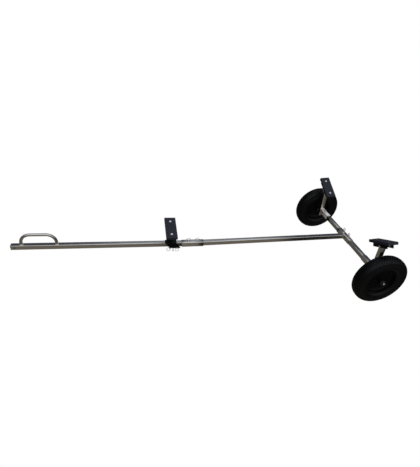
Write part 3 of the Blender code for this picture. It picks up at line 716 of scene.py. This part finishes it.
def bent_strip(centre, width, thickness, edge=0.0004):
    """A bent plate: a rectangle (width along Y, thickness across) carried along its centre line."""
    section = rounded_rectangle(thickness / 2, width / 2, edge, 2)
    return capped(swept(WORLD, in_plane(centre, "XZ"), (0, 1, 0), section[:, ::-1]))


def channel_line(half, web, foot, bend=0.0035):
    """Centre line of a channel's section: up one flange, round a bend, over the web and down."""
    turn = np.linspace(0, math.pi / 2, 9)
    rise = np.linspace(foot, web - bend, 4)[:-1]
    left = np.stack([np.full(3, -half), rise], -1)
    arc = np.stack([-half + bend - bend * np.cos(turn), web - bend + bend * np.sin(turn)], -1)
    side = np.concatenate([left, arc])
    return np.concatenate([side, side[::-1] * [-1, 1]])


def rocking_pad(prefix, pivot, rocker, post_body):
    """Board, channel and two countersunk bolts about a pivot; X along the pivot, Z out of the pad."""
    low, high = WEB_TOP + GAP, WEB_TOP + PAD[2]
    board = mesh_object(
        prefix + "_board",
        [(to_world(pivot, rounded_block(PAD[0] / 2, PAD[1] / 2, low, high, 0.0016)), False, True)],
    )
    line = channel_line(0.025 - 0.0015, WEB_TOP - 0.0015, WEB_TOP - 0.028)
    strip = bent_strip(line, 0.145, 0.003)
    rail = mesh_object(prefix + "_rail", [(to_world(pivot, strip), False, True)])
    for y in (-PAD_BOLT_Y, PAD_BOLT_Y):
        place = shifted(pivot, y=y)
        sink = [(0, 0), (0.0047, 0), (0.0047, high - 0.006), (0.0092, high - 0.0012)]
        sink += [(0.0092, high + 0.01), (0, high + 0.01)]
        for piece in (board, rail):
            cutter = mesh_object("tool", [(turned(place, sink, 32), False, True)])
            carve(piece, [cutter])
    carve(rail, [drill_tool(standing(pivot, "X"), PIVOT_HOLE, -0.03, 0.03)])
    fit(board, "pad", rocker, prefix + "_pad")
    fit(rail, "black", rocker, prefix + "_channel")
    for end, y in (("inner", -PAD_BOLT_Y), ("outer", PAD_BOLT_Y)):
        pad_bolt(f"{prefix}_pad_bolt_{end}", shifted(pivot, y=y), high, rocker)
    pivot_bolt(prefix + "_pivot_bolt", standing(pivot, "X"), post_body)


def hexagon(flat, angle):
    """Radius of a hexagon of this width across its flats: half of it over cos(angle from a flat)."""
    wedge = np.mod(angle + math.pi / 6, math.pi / 3) - math.pi / 6
    return flat / 2 / np.cos(wedge)


def hexagon_rule(flat):
    """A rule for `turned` that limits every radius to a hexagon."""
    return lambda radius, angle: np.minimum(radius, hexagon(flat, angle)[None, :])


def thread(radius, low, high, pitch=0.00125):
    """Profile points of a screw thread, as rings at half-pitch steps."""
    count = max(2, int((high - low) / (pitch / 2)))
    heights = np.linspace(low, high, count)
    return [(radius - (0.0 if k % 2 else 0.0005), z) for k, z in enumerate(heights)]


def pad_bolt(name, place, face, body):
    """Countersunk socket bolt with a six-sided recess, its nut under the channel."""
    under = WEB_TOP - 0.003
    head = [(0, face - 0.0038), (0.0026, face - 0.0038), (0.0026, face - 0.0010)]
    head += [(0.0031, face - 0.0008), (0.0080, face - 0.0008), (0.0084, face - 0.0012)]
    head += [(0.0040, face - 0.0056), (0.0040, under - 0.0003)]
    tail = [(0.0075, under - 0.0003), (0.0075, under - 0.0068), (0.0040, under - 0.0068)]
    end = [(0.0040, under - 0.0080), (0.0034, under - 0.0086), (0, under - 0.0086)]
    profile = np.array(head + tail + end)
    top = len(head)

    def flats(radius, angle):
        shaped = radius.copy()
        shaped[1:3] = np.minimum(radius[1:3] * 1.1, hexagon(0.005, angle))
        shaped[top:top + 2] = np.minimum(radius[top:top + 2], hexagon(0.013, angle))
        return shaped

    piece = mesh_object(name + "_full", [(turned(place, profile, 48, flats), False, True)])
    return fit(piece, "bright", body, name)


def pivot_bolt(name, place, body):
    """Hexagon bolt along Z through the channel, with a locking nut on its other end."""
    half = 0.025
    head = [(0, -half - 0.0068), (0.0078, -half - 0.0068), (0.0096, -half - 0.0060)]
    head += [(0.0098, -half - 0.0003)]
    shank = [(0.0049, -half - 0.0003), (0.0049, half + 0.0003)]
    nut = [(0.0098, half + 0.0003), (0.0098, half + 0.0056), (0.0078, half + 0.0062)]
    nut += [(0.0070, half + 0.0080), (0.0049, half + 0.0080), (0.0049, half + 0.0094)]
    nut += [(0.0042, half + 0.0100), (0, half + 0.0100)]
    piece = mesh_object(
        name + "_full", [(turned(place, head + shank + nut, 48, hexagon_rule(0.017)), False, True)]
    )
    return fit(piece, "zinc", body, name)


# ------------------------------------------------------------------ cross axle, posts and clamps
def cross_sleeve():
    """The T's sleeve with its two welded nuts, and the eye screws through them."""
    place = shifted(CHASSIS, z=AXLE_RISE)
    outer, bore, half = T_SLEEVE
    sleeve = square_tube("cross_sleeve", along_axis(place, "Y"), outer, bore, -half, half, 0.0040)
    for y in CLAMP_Y.values():
        carve(sleeve, [drill_tool(shifted(place, y=y), CLAMP_HOLE, 0.0, 0.05)], 50)
    fit(sleeve, "cross sleeve", "drawbar", "axle_sleeve")
    for side, y in CLAMP_Y.items():
        centre = shifted(place, y=y)
        top = outer / 2
        nut = [(0.0044, top - 0.001), (0.0087, top - 0.001), (0.0087, top + 0.0070)]
        nut += [(0.0078, top + 0.008), (0.0052, top + 0.008), (0.0044, top + 0.0072)]
        piece = mesh_object(
            f"clamp_nut_{side}", [(turned(centre, nut, 48, hexagon_rule(0.015)), True, True)]
        )
        fit(piece, "bright", "drawbar")
        ring = in_plane(circle(0.0086, 60), "XY") + np.array([0, 0, top + 0.0003])
        bead(f"weld_nut_{side}", centre, ring, "drawbar", radius=0.0012)
        eye_screw(f"clamp_screw_{side}", centre, top + 0.008)


def eye_screw(name, place, collar):
    """Threaded screw under a plain collar and a ring of round wire."""
    radius, wire, tip = 0.0105, 0.0022, TUBE / 2 + GAP
    neck = collar + 0.006
    profile = [(0, tip), (0.003, tip)] + thread(0.0040, tip + 0.0008, collar + 0.0003)
    profile += [(0.0055, collar + 0.0003), (0.006, collar + 0.0008), (0.006, collar + 0.0026)]
    profile += [(0.0052, collar + 0.0032), (0.0034, collar + 0.0036)]
    profile += [(0.0030, neck + 0.0008), (0, neck + 0.0008)]
    middle = standing(shifted(place, z=neck + radius + wire - 0.001), "X")
    ring = turned(middle, circle(wire, 14) + np.array([radius, 0]), 56)
    piece = mesh_object(name + "_full", [(turned(place, profile, 32), False, True), (ring, True, True)])
    return fit(piece, "zinc", name, name)


def axle_half(side):
    """Tube, socket, post and stub axle of one side, in axes whose Y points outwards."""
    body = f"axle_{side}"
    place = shifted(SIDES[side], z=AXLE_RISE)
    outwards = along_axis(place, "Y")
    post_face = POST_Y - TUBE / 2
    tube = square_tube(f"{body}_tube_full", outwards, TUBE, TUBE_INSIDE, 0.001, post_face - 0.0008)
    fit(tube, "cross tube", body, f"axle_tube_{side}")
    socket = square_tube(
        f"{body}_socket_full", outwards, T_SLEEVE[0], SOCKET_BORE, SOCKET_INNER_Y, post_face - GAP, 0.0040
    )
    # the left socket kept its drawn finish: only the right one was sanded all over
    fit(socket, "ground" if side == "right" else "cross sleeve", body, f"axle_socket_{side}")
    post_place = shifted(POSTS[side], y=POST_Y)
    post = square_tube(
        f"{body}_post_full", along_axis(post_place, "Z"), TUBE, TUBE_INSIDE,
        POST_FOOT, SIDE_PIVOT + SIDE_POST_TOP,
    )
    across = standing(post_place, "Y")
    cuts = [drill_tool(across, STUB_RADIUS + GAP, -0.03, 0.03)]
    cuts.append(drill_tool(standing(shifted(post_place, z=SIDE_PIVOT), "X"), PIVOT_HOLE, -0.03, 0.03))
    for k in range(3):
        hole = standing(shifted(post_place, z=0.075 + 0.035 * k), "Y")
        cuts.append(drill_tool(hole, 0.003, -0.03, 0.0))
    for cutter in cuts:
        carve(post, [cutter], 50)
    fit(post, "post", body, f"post_{side}")
    pivot = rolled(shifted(post_place, z=SIDE_PIVOT), SIDE_TILT)
    rocking_pad(f"side_{side}", pivot, f"side_{side}_rocker", body)
    around = rectangle_path(TUBE / 2 + 0.0008, T_SLEEVE[0] / 2 + 0.0001, "XZ")
    bead(f"weld_socket_{side}", shifted(place, y=post_face - 0.0006), around, body, radius=0.0021)
    ring = in_plane(circle(0.0106, 72), "XZ")
    bead(f"weld_stub_{side}", shifted(post_place, y=-TUBE / 2 - GAP), ring, body, radius=0.0014)
    stub_axle(side, across, body)


def stub_axle(side, across, body):
    """Turned stub axle along Z with its spacer, washer and hexagon nut, heights from the post."""
    bushes = HUB_HALF + 0.0025
    inner, outer = WHEEL_Y - POST_Y - bushes, WHEEL_Y - POST_Y + bushes
    foot, post_side = -TUBE / 2 + GAP, TUBE / 2 + GAP
    stub = [(0, foot), (0.0092, foot), (STUB_RADIUS, foot + 0.0008), (STUB_RADIUS, outer + 0.001)]
    stub += thread(0.0078, outer + 0.001, outer + 0.0132, 0.0015)
    stub += [(0.0068, outer + 0.0150), (0, outer + 0.0150)]
    fit(
        mesh_object(f"stub_{side}", [(turned(across, stub, 40), False, True)]),
        "bright", body, f"stub_axle_{side}",
    )
    spacer = [(0.0103, post_side), (0.0155, post_side), (0.0155, inner - GAP), (0.0103, inner - GAP)]
    fit(ring_solid(f"spacer_{side}", across, spacer), "zinc", body, f"axle_spacer_{side}")
    washer = [(0.0081, outer + 0.0013), (0.0150, outer + 0.0013), (0.0150, outer + 0.0033),
              (0.0081, outer + 0.0033)]
    fit(ring_solid(f"washer_{side}", across, washer), "dull", body, f"axle_washer_{side}")
    nut = [(0.0084, outer + 0.0036), (0.0122, outer + 0.0036), (0.0138, outer + 0.0046),
           (0.0138, outer + 0.0116), (0.0122, outer + 0.0126), (0.0090, outer + 0.0126),
           (0.0082, outer + 0.0118), (0.0082, outer + 0.0044)]
    piece = mesh_object(f"wheel_nut_{side}", [(turned(across, nut, 60, hexagon_rule(0.024)), True, True)])
    fit(piece, "dull", body, f"axle_nut_{side}")


# ------------------------------------------------------------------ wheels
def tyre_section(half, angle):
    """Rounded-square section of the tyre: (radius, y) by angle from its crown."""
    c, s = np.cos(angle), np.sin(angle)
    radius = 0.150 + half * np.sign(c) * np.abs(c) ** 0.8
    return np.stack([radius, half * np.sign(s) * np.abs(s) ** 0.8], -1)


BLOCKS = 62                  # tread blocks round each row
ROW_EDGES = (0.0075, 0.0225, 0.0370, 0.0520)     # grooves, measured from the crown along the section
GROOVE_DEPTH = 0.0042


def groove_wave(distance, half_width, wall):
    """1 in a groove, 0 on a block, with a straight wall between."""
    return np.clip((half_width + wall - np.abs(distance)) / wall, 0, 1)


def tyre(side, place):
    """Block-tread tyre. Along the section, s is the arc length from the crown; around it, u counts
    blocks. The outside is pushed in by the deeper of the groove between rows and the groove between
    blocks, every other row being shifted by half a block."""
    fine = np.linspace(0, math.radians(140), 3000)
    line = tyre_section(0.050, fine)
    arc = np.concatenate([[0], np.cumsum(np.linalg.norm(np.diff(line, axis=0), axis=1))])
    wall, half_groove = 0.0007, 0.0016
    marks = [0.0]
    for edge in ROW_EDGES:
        marks += [edge - half_groove - wall, edge - half_groove]
        marks += [edge + half_groove, edge + half_groove + wall]
    marks += [0.015, 0.030, 0.0445, 0.0585, 0.0600, 0.0612]
    marks += [0.070, 0.0715, 0.0730, 0.080, 0.0815, 0.083] + list(np.linspace(0.088, arc[-1], 6))
    marks = np.unique(np.round(marks, 6))
    s = np.concatenate([-marks[:0:-1], marks])
    angle = np.interp(np.abs(s), arc, fine) * np.sign(s)
    base = tyre_section(0.050, angle)
    step = 1e-4
    normal = tyre_section(0.050, angle + step) - tyre_section(0.050, angle - step)
    normal = np.stack([normal[:, 1], -normal[:, 0]], -1)
    normal /= np.linalg.norm(normal, axis=1, keepdims=True)

    pitch_length = 2 * math.pi * WHEEL_RADIUS / BLOCKS
    gap = 0.0019 / pitch_length
    ramp = 0.0008 / pitch_length
    unit_marks = np.array([-gap - ramp, -gap, gap, gap + ramp, 0.25])
    unit_marks = np.concatenate([unit_marks, unit_marks + 0.5])
    u = (np.arange(BLOCKS)[:, None] + np.mod(unit_marks, 1)[None, :]).ravel()
    u = np.sort(u)

    distance = np.abs(s)
    row = np.searchsorted(ROW_EDGES, distance)
    between_rows = np.max([groove_wave(distance - edge, half_groove, wall) for edge in ROW_EDGES], axis=0)
    stagger = 0.5 * (row % 2)
    offset = u[None, :] - stagger[:, None]
    offset = offset - np.round(offset)
    between_blocks = np.clip((gap + ramp - np.abs(offset)) / ramp, 0, 1)
    in_tread = (distance < ROW_EDGES[-1]).astype(float)
    shoulder = np.clip((0.0600 - distance) / 0.0012, 0, 1)
    lug = np.where(distance < ROW_EDGES[-1], in_tread, shoulder * 0.85)
    groove = np.maximum(between_rows[:, None] * (distance < 0.058)[:, None], between_blocks * lug[:, None])
    ribs = np.where((distance > 0.0705) & (distance < 0.0725), -0.0007, 0.0)
    ribs += np.where((distance > 0.0805) & (distance < 0.0825), -0.0009, 0.0)
    side_wall = np.clip((distance - 0.0600) / 0.0012, 0, 1) * 0.0010
    push = GROOVE_DEPTH * groove + (ribs + side_wall)[:, None]
    radius = base[:, :1] - push * normal[:, :1]
    across = base[:, 1:] - push * normal[:, 1:]

    bead_line = np.array([(0.1030, 0.0352), (0.1024, 0.0345), (0.1024, 0.0290), (0.1030, 0.0285)])
    inner = tyre_section(0.0435, np.linspace(math.radians(140), -math.radians(140), 25))
    rest = np.concatenate([bead_line, inner, bead_line[::-1] * [1, -1]])
    radius = np.concatenate([radius, np.repeat(rest[:, :1], len(u), 1)])
    across = np.concatenate([across, np.repeat(rest[:, 1:], len(u), 1)])
    turn = u / BLOCKS * 2 * math.pi
    points = np.stack([radius * np.cos(turn), radius * np.sin(turn), across], -1)
    values = np.concatenate([groove, np.full((len(rest), len(u)), 0.4)])
    piece = mesh_object(
        f"tyre_{side}_full", [(to_world(place, points), True, True)], sharp=32, values=values
    )
    fit(piece, "tyre", f"wheel_{side}", f"tyre_{side}")


def wheel(side):
    """Tyre, welded rim turned from one dished profile mirrored about its disc, hub, bushes, tube."""
    body = f"wheel_{side}"
    upright = (WHEELS[side], *WORLD[1:])
    if side == "left":
        upright = about(upright)
    place = standing(upright, "Y")
    tyre(side, place)

    face = [(0.0178, 0.0020), (0.066, 0.0020), (0.070, 0.0032), (0.0750, 0.0034), (0.0800, 0.0034),
            (0.0870, 0.0072), (0.0950, 0.0098), (0.0988, 0.0145), (0.0990, 0.0368), (0.1012, 0.0396),
            (0.1040, 0.0408), (0.1085, 0.0408)]
    back = [(0.1088, 0.0396), (0.1085, 0.0382), (0.1040, 0.0379), (0.1016, 0.0355), (0.1014, 0.0150),
            (0.0975, 0.0090), (0.0895, 0.0050)]
    half = rounded_profile(np.array(face + back), 0.0016, 3)[4:-4]
    half = np.concatenate([[face[0]], half, [back[-1]]])
    profile = np.concatenate([half, half[::-1] * [1, -1]])
    disc = mesh_object(f"rim_{side}_full", [(turned(place, profile, 96), True, True)], sharp=40)
    hole = shifted(upright, y=0.022)
    carve(disc, [drill_tool(hole, 0.0042, 0.090, 0.110)])
    fit(disc, "black", body, f"rim_{side}")

    hub = [(0.0147, -HUB_HALF), (0.0175, -HUB_HALF), (0.0175, HUB_HALF), (0.0147, HUB_HALF)]
    fit(ring_solid(f"hub_{side}_full", place, hub, 56), "black", body, f"hub_{side}")
    for y in (-0.0026, 0.0026):
        ring = in_plane(circle(0.0184, 90), "XZ")
        bead(f"weld_hub_{side}_{'outer' if y > 0 else 'inner'}", shifted(upright, y=y), ring, body,
             radius=0.0016, finish="black")
    for end, sign in (("inner", -1), ("outer", 1)):
        heights = [sign * (HUB_HALF + grow) for grow in (-0.020, 0.0003, 0.0023)]
        bush = [(0.0103, heights[0]), (0.0144, heights[0]), (0.0144, heights[1]),
                (0.0175, heights[1]), (0.0175, heights[2]), (0.0103, heights[2])]
        name = f"hub_bush_{end}_{side}"
        fit(ring_solid(name + "_full", place, bush, 48), "nylon", body, name)

    valve = [(0, 0.0780), (0.0026, 0.0780)] + thread(0.0026, 0.0785, 0.0860, 0.0008)
    valve += [(0.0032, 0.0865), (0.0036, 0.1010), (0.0042, 0.1040), (0.0042, 0.1090), (0, 0.1090)]
    stem = turned(shifted(upright, y=0.022), valve, 24)
    round_tube = turned(place, circle(0.0380, 24) + np.array([0.149, 0]), 64)
    piece = mesh_object(f"inner_tube_{side}_full", [(round_tube, True, True), (stem, False, True)])
    fit(piece, "tyre", body, f"inner_tube_{side}")


# ------------------------------------------------------------------ keel support, pins and rings
def spun(place, angle):
    """The same axes turned about their own Z."""
    origin, ex, ey, ez = place
    c, s = math.cos(angle), math.sin(angle)
    return origin, c * ex + s * ey, c * ey - s * ex, ez


def ring_pin(name, place, shank, length, lean, pin_body, ring_body, ring_name):
    """Quick-release pin along Z with a cross hole in its head, and the pull ring through it."""
    head = 0.0048
    profile = [(0, -length), (shank * 0.55, -length), (shank, -length + 0.002), (shank, 0.0003)]
    profile += [(head, 0.0003), (head, 0.0016), (head - 0.0007, 0.0022), (head, 0.0028)]
    profile += [(head, 0.0098), (head - 0.0011, 0.0110), (0, 0.0110)]
    pin = mesh_object(name + "_full", [(turned(place, profile, 32), False, True)])
    eye = standing(shifted(place, z=PIN_EYE), "X")
    carve(pin, [drill_tool(eye, 0.0024, -0.01, 0.01, 20)])
    fit(pin, "bright", pin_body, name)
    hanging = shifted(rolled(shifted(place, z=PIN_EYE), lean), z=0.014)
    fit(torus(ring_name + "_full", standing(hanging, "Y"), 0.014, 0.00125), "wire", ring_body, ring_name)


def coupling_pins():
    """Two lock pins standing on the coupling sleeve, their rings leaning back."""
    for end, x in (("front", -COUPLING_PIN_X), ("rear", COUPLING_PIN_X)):
        place = shifted(COUPLING_PLACE, x=x, z=COUPLING[0] / 2)
        name, ring = f"coupling_pin_{end}", f"coupling_ring_{end}"
        ring_pin(name, place, 0.004, 0.051, math.radians(25), name, ring, ring)


def keel_support():
    """Slant-ended saddle bent from plate, with its pins, clamp screw, post and rocking pad."""
    half_width, thick, top, foot, pin_z = 0.022, 0.0042, 0.0215, -0.0282, -0.022
    centre = channel_line(half_width - thick / 2, top - thick / 2, foot, 0.0034)
    strip = bent_strip(centre, 0.082, thick, 0.0008)
    raked = np.stack([strip[..., 1], strip[..., 0], strip[..., 2]], -1)
    raked[..., 0] += 0.020 - 0.7 * raked[..., 2]
    body = mesh_object("saddle_full", [(to_world(SADDLE, raked), False, True)])
    for x in (-0.001, 0.052):
        hole = standing(shifted(SADDLE, x=x, z=pin_z), "Y")
        carve(body, [drill_tool(hole, 0.0033, -0.03, 0.03)])
    screw_place = shifted(SADDLE, x=0.022)
    carve(body, [drill_tool(standing(screw_place, "Y"), 0.0044, -0.03, 0.0)])
    fit(body, "black", "keel_saddle", "keel_saddle")
    for end, x, turn in (("front", -0.001, math.radians(-45)), ("rear", 0.052, 0.0)):
        face = rolled(shifted(SADDLE, x=x, y=-half_width, z=pin_z), math.pi / 2)
        name, ring = f"saddle_pin_{end}", f"saddle_ring_{end}"
        ring_pin(name, spun(face, turn), 0.003, 0.048, math.pi / 2, name, ring, ring)
    clamp_screw(screw_place, half_width)
    post = square_tube(
        "keel_post_full", along_axis(SADDLE, "Z"), TUBE, TUBE_INSIDE, top + GAP,
        KEEL_PIVOT + KEEL_POST_TOP,
    )
    pivot = shifted(SADDLE, z=KEEL_PIVOT)
    cutter = drill_tool(standing(pivot, "X"), PIVOT_HOLE, -0.03, 0.03)
    fit(carve(post, [cutter], 50), "black", "keel_saddle", "keel_post")
    around = rectangle_path(TUBE / 2 + 0.0002, TUBE / 2 + 0.0002, "XY")
    foot = shifted(SADDLE, z=top + 0.0004)
    bead("weld_keel_post", foot, around, "keel_saddle", radius=0.0020, finish="black")
    rocking_pad("keel", rolled(pivot, KEEL_TILT), "keel_rocker", "keel_saddle")


def clamp_screw(place, out):
    """Screw through the saddle's leg, turned by a sliding cross bar with a tapered lower end."""
    outward = standing(place, "-Y")
    profile = [(0, TUBE / 2 + GAP), (0.003, TUBE / 2 + GAP)]
    profile += thread(0.0040, TUBE / 2 + 0.0012, out + GAP)
    profile += [(0.0070, out + GAP), (0.0075, out + 0.0008), (0.0075, out + 0.0056)]
    profile += [(0.0068, out + 0.0062), (0.0060, out + 0.0066), (0.0060, out + 0.0216)]
    profile += [(0.0050, out + 0.0230), (0, out + 0.0230)]
    bar = [(0, -0.044), (0.0012, -0.044), (0.0026, -0.0425), (0.0030, -0.041), (0.0030, -0.0385),
           (0.0025, -0.036), (0.0025, 0.0205), (0.0024, 0.0225), (0.0012, 0.0230), (0, 0.0230)]
    bar_place = shifted(place, y=-out - 0.0168)
    piece = mesh_object(
        "clamp_screw_full",
        [(turned(outward, profile, 40), False, True), (turned(bar_place, bar, 28), False, True)],
    )
    fit(piece, "black", "saddle_clamp_screw", "saddle_clamp_screw")


# ------------------------------------------------------------------ floor, light and camera
def floor():
    """A wide, evenly white plane just under the wheels."""
    mesh = bpy.data.meshes.new("pale_floor")
    half = 30.0
    corners = [(-half, -half, 0), (half, -half, 0), (half, half, 0), (-half, half, 0)]
    mesh.from_pydata(corners, [], [(0, 1, 2, 3)])
    piece = bpy.data.objects.new("pale_floor", mesh)
    bpy.context.scene.collection.objects.link(piece)
    made = bpy.data.materials.new("pale_floor")
    made.use_nodes = True
    tree = made.node_tree
    tree.nodes.clear()
    glow, out = tree.nodes.new("ShaderNodeEmission"), tree.nodes.new("ShaderNodeOutputMaterial")
    glow.inputs["Color"].default_value = (1, 1, 1, 1)
    tree.links.new(glow.outputs[0], out.inputs["Surface"])
    mesh.materials.append(made)
    piece.location.z = -0.001
    piece.visible_diffuse = False
    piece.visible_glossy = False
    piece.visible_transmission = False
    piece.visible_shadow = False


BAND_MIDDLE = 0.18           # sideways part of the direction in which the low band is lightest
BAND_LIGHT = (0.27, 0.28, 0.31)
BAND_DARK = (0.075, 0.085, 0.105)
OVERHEAD = (0.95, 1.00, 1.10)
FRONT_GLOW = (1.5, 1.5, 1.5)
GROUND_FRONT = (0.23, 0.205, 0.17)
GROUND_BEHIND = (0.150, 0.140, 0.118)
GROUND_DARK = (0.010, 0.009, 0.007)


def sky():
    """Surroundings: white to the eye. The metal mirrors a bright overhead and front, a dim blue-grey
    band low behind that is lightest in its middle, and a warm grey ground, lighter behind."""
    world = bpy.data.worlds.new("studio")
    bpy.context.scene.world = world
    world.use_nodes = True
    tree = world.node_tree
    tree.nodes.clear()
    where = tree.nodes.new("ShaderNodeTexCoord")
    split = tree.nodes.new("ShaderNodeSeparateXYZ")
    tree.links.new(where.outputs["Generated"], split.inputs[0])
    x, y, z = split.outputs
    off_middle = combined(tree, "ABSOLUTE", combined(tree, "SUBTRACT", x, BAND_MIDDLE), 0)
    aside = spread(tree, off_middle, 0.05, 0.45, 0, 1, True)
    band = blended(tree, aside, BAND_LIGHT, BAND_DARK)
    high, sideways = spread(tree, z, 0.56, 0.78, 0, 1, True), spread(tree, x, 0.30, 0.55, 1, 0.08, True)
    rise = combined(tree, "MULTIPLY", high, sideways)
    overhead = blended(tree, rise, band, OVERHEAD)
    front = combined(
        tree, "MULTIPLY", spread(tree, y, -0.8, 0.3, 1, 0, True), spread(tree, z, 0.1, 0.5, 0, 1, True)
    )
    above = blended(tree, front, overhead, FRONT_GLOW)
    lit = blended(tree, spread(tree, x, 0.50, 0.64, 0, 1, True), GROUND_FRONT, GROUND_DARK)
    ground = blended(tree, spread(tree, y, -0.6, 0.6, 0, 1, True), lit, GROUND_BEHIND)
    everywhere = blended(tree, spread(tree, z, -0.03, 0.03, 0, 1), ground, above)
    shade = tree.nodes.new("ShaderNodeBackground")
    tree.links.new(everywhere, shade.inputs["Color"])
    plain = tree.nodes.new("ShaderNodeBackground")
    plain.inputs["Color"].default_value = (1, 1, 1, 1)
    choose, out = tree.nodes.new("ShaderNodeMixShader"), tree.nodes.new("ShaderNodeOutputWorld")
    path = tree.nodes.new("ShaderNodeLightPath")
    tree.links.new(path.outputs["Is Camera Ray"], choose.inputs["Fac"])
    tree.links.new(shade.outputs[0], choose.inputs[1])
    tree.links.new(plain.outputs[0], choose.inputs[2])
    tree.links.new(choose.outputs[0], out.inputs["Surface"])


def soft_light(name, place, target, size, power):
    """A round lamp at a place, turned to its target."""
    data = bpy.data.lights.new(name, "AREA")
    data.shape = "DISK"
    data.size = size
    data.energy = power
    lamp = bpy.data.objects.new(name, data)
    bpy.context.scene.collection.objects.link(lamp)
    back = unit(np.subtract(place, target))
    side = unit(np.cross((0, 0, 1), back))
    turn = np.column_stack([side, np.cross(back, side), back])
    lamp.matrix_world = Matrix.Translation(place) @ Matrix(turn.tolist()).to_4x4()
    lamp.visible_camera = False


def camera():
    """View from the front left, above: yaw, pitch and roll of a plain perspective camera."""
    yaw, pitch, roll = 0.3282, 0.5772, 0.2259
    from_axle = np.array([-1.84116, -1.99048, 1.36084])
    forward = np.array([math.sin(yaw) * math.cos(pitch), math.cos(yaw) * math.cos(pitch), -math.sin(pitch)])
    level = np.array([math.cos(yaw), -math.sin(yaw), 0])
    upright = np.cross(level, forward)
    side = level * math.cos(roll) + upright * math.sin(roll)
    up = upright * math.cos(roll) - level * math.sin(roll)
    turn = Matrix(np.column_stack([side, up, -forward]).tolist())
    lens = bpy.data.cameras.new("view")
    lens.sensor_fit = "AUTO"
    lens.sensor_width = 36.0
    lens.lens = 25.88
    lens.clip_end = 100
    eye = bpy.data.objects.new("view", lens)
    bpy.context.scene.collection.objects.link(eye)
    eye.matrix_world = Matrix.Translation(AXLE_MIDDLE + from_axle) @ turn.to_4x4()
    bpy.context.scene.camera = eye


def main():
    """Every piece, then the floor, the surroundings, the key light and the camera."""
    drawbar()
    cross_sleeve()
    coupling_pins()
    keel_support()
    for side in ("left", "right"):
        axle_half(side)
        wheel(side)
    floor()
    sky()
    soft_light("key", (-1.5, -2.5, 3.5), (0, 0, 0.2), 2.5, 4)
    camera()
    bpy.context.scene.view_settings.view_transform = "Standard"


def plain(bounds):
    """A box's two corners as plain lists of numbers."""
    return [[float(value) for value in corner] for corner in bounds]


main()
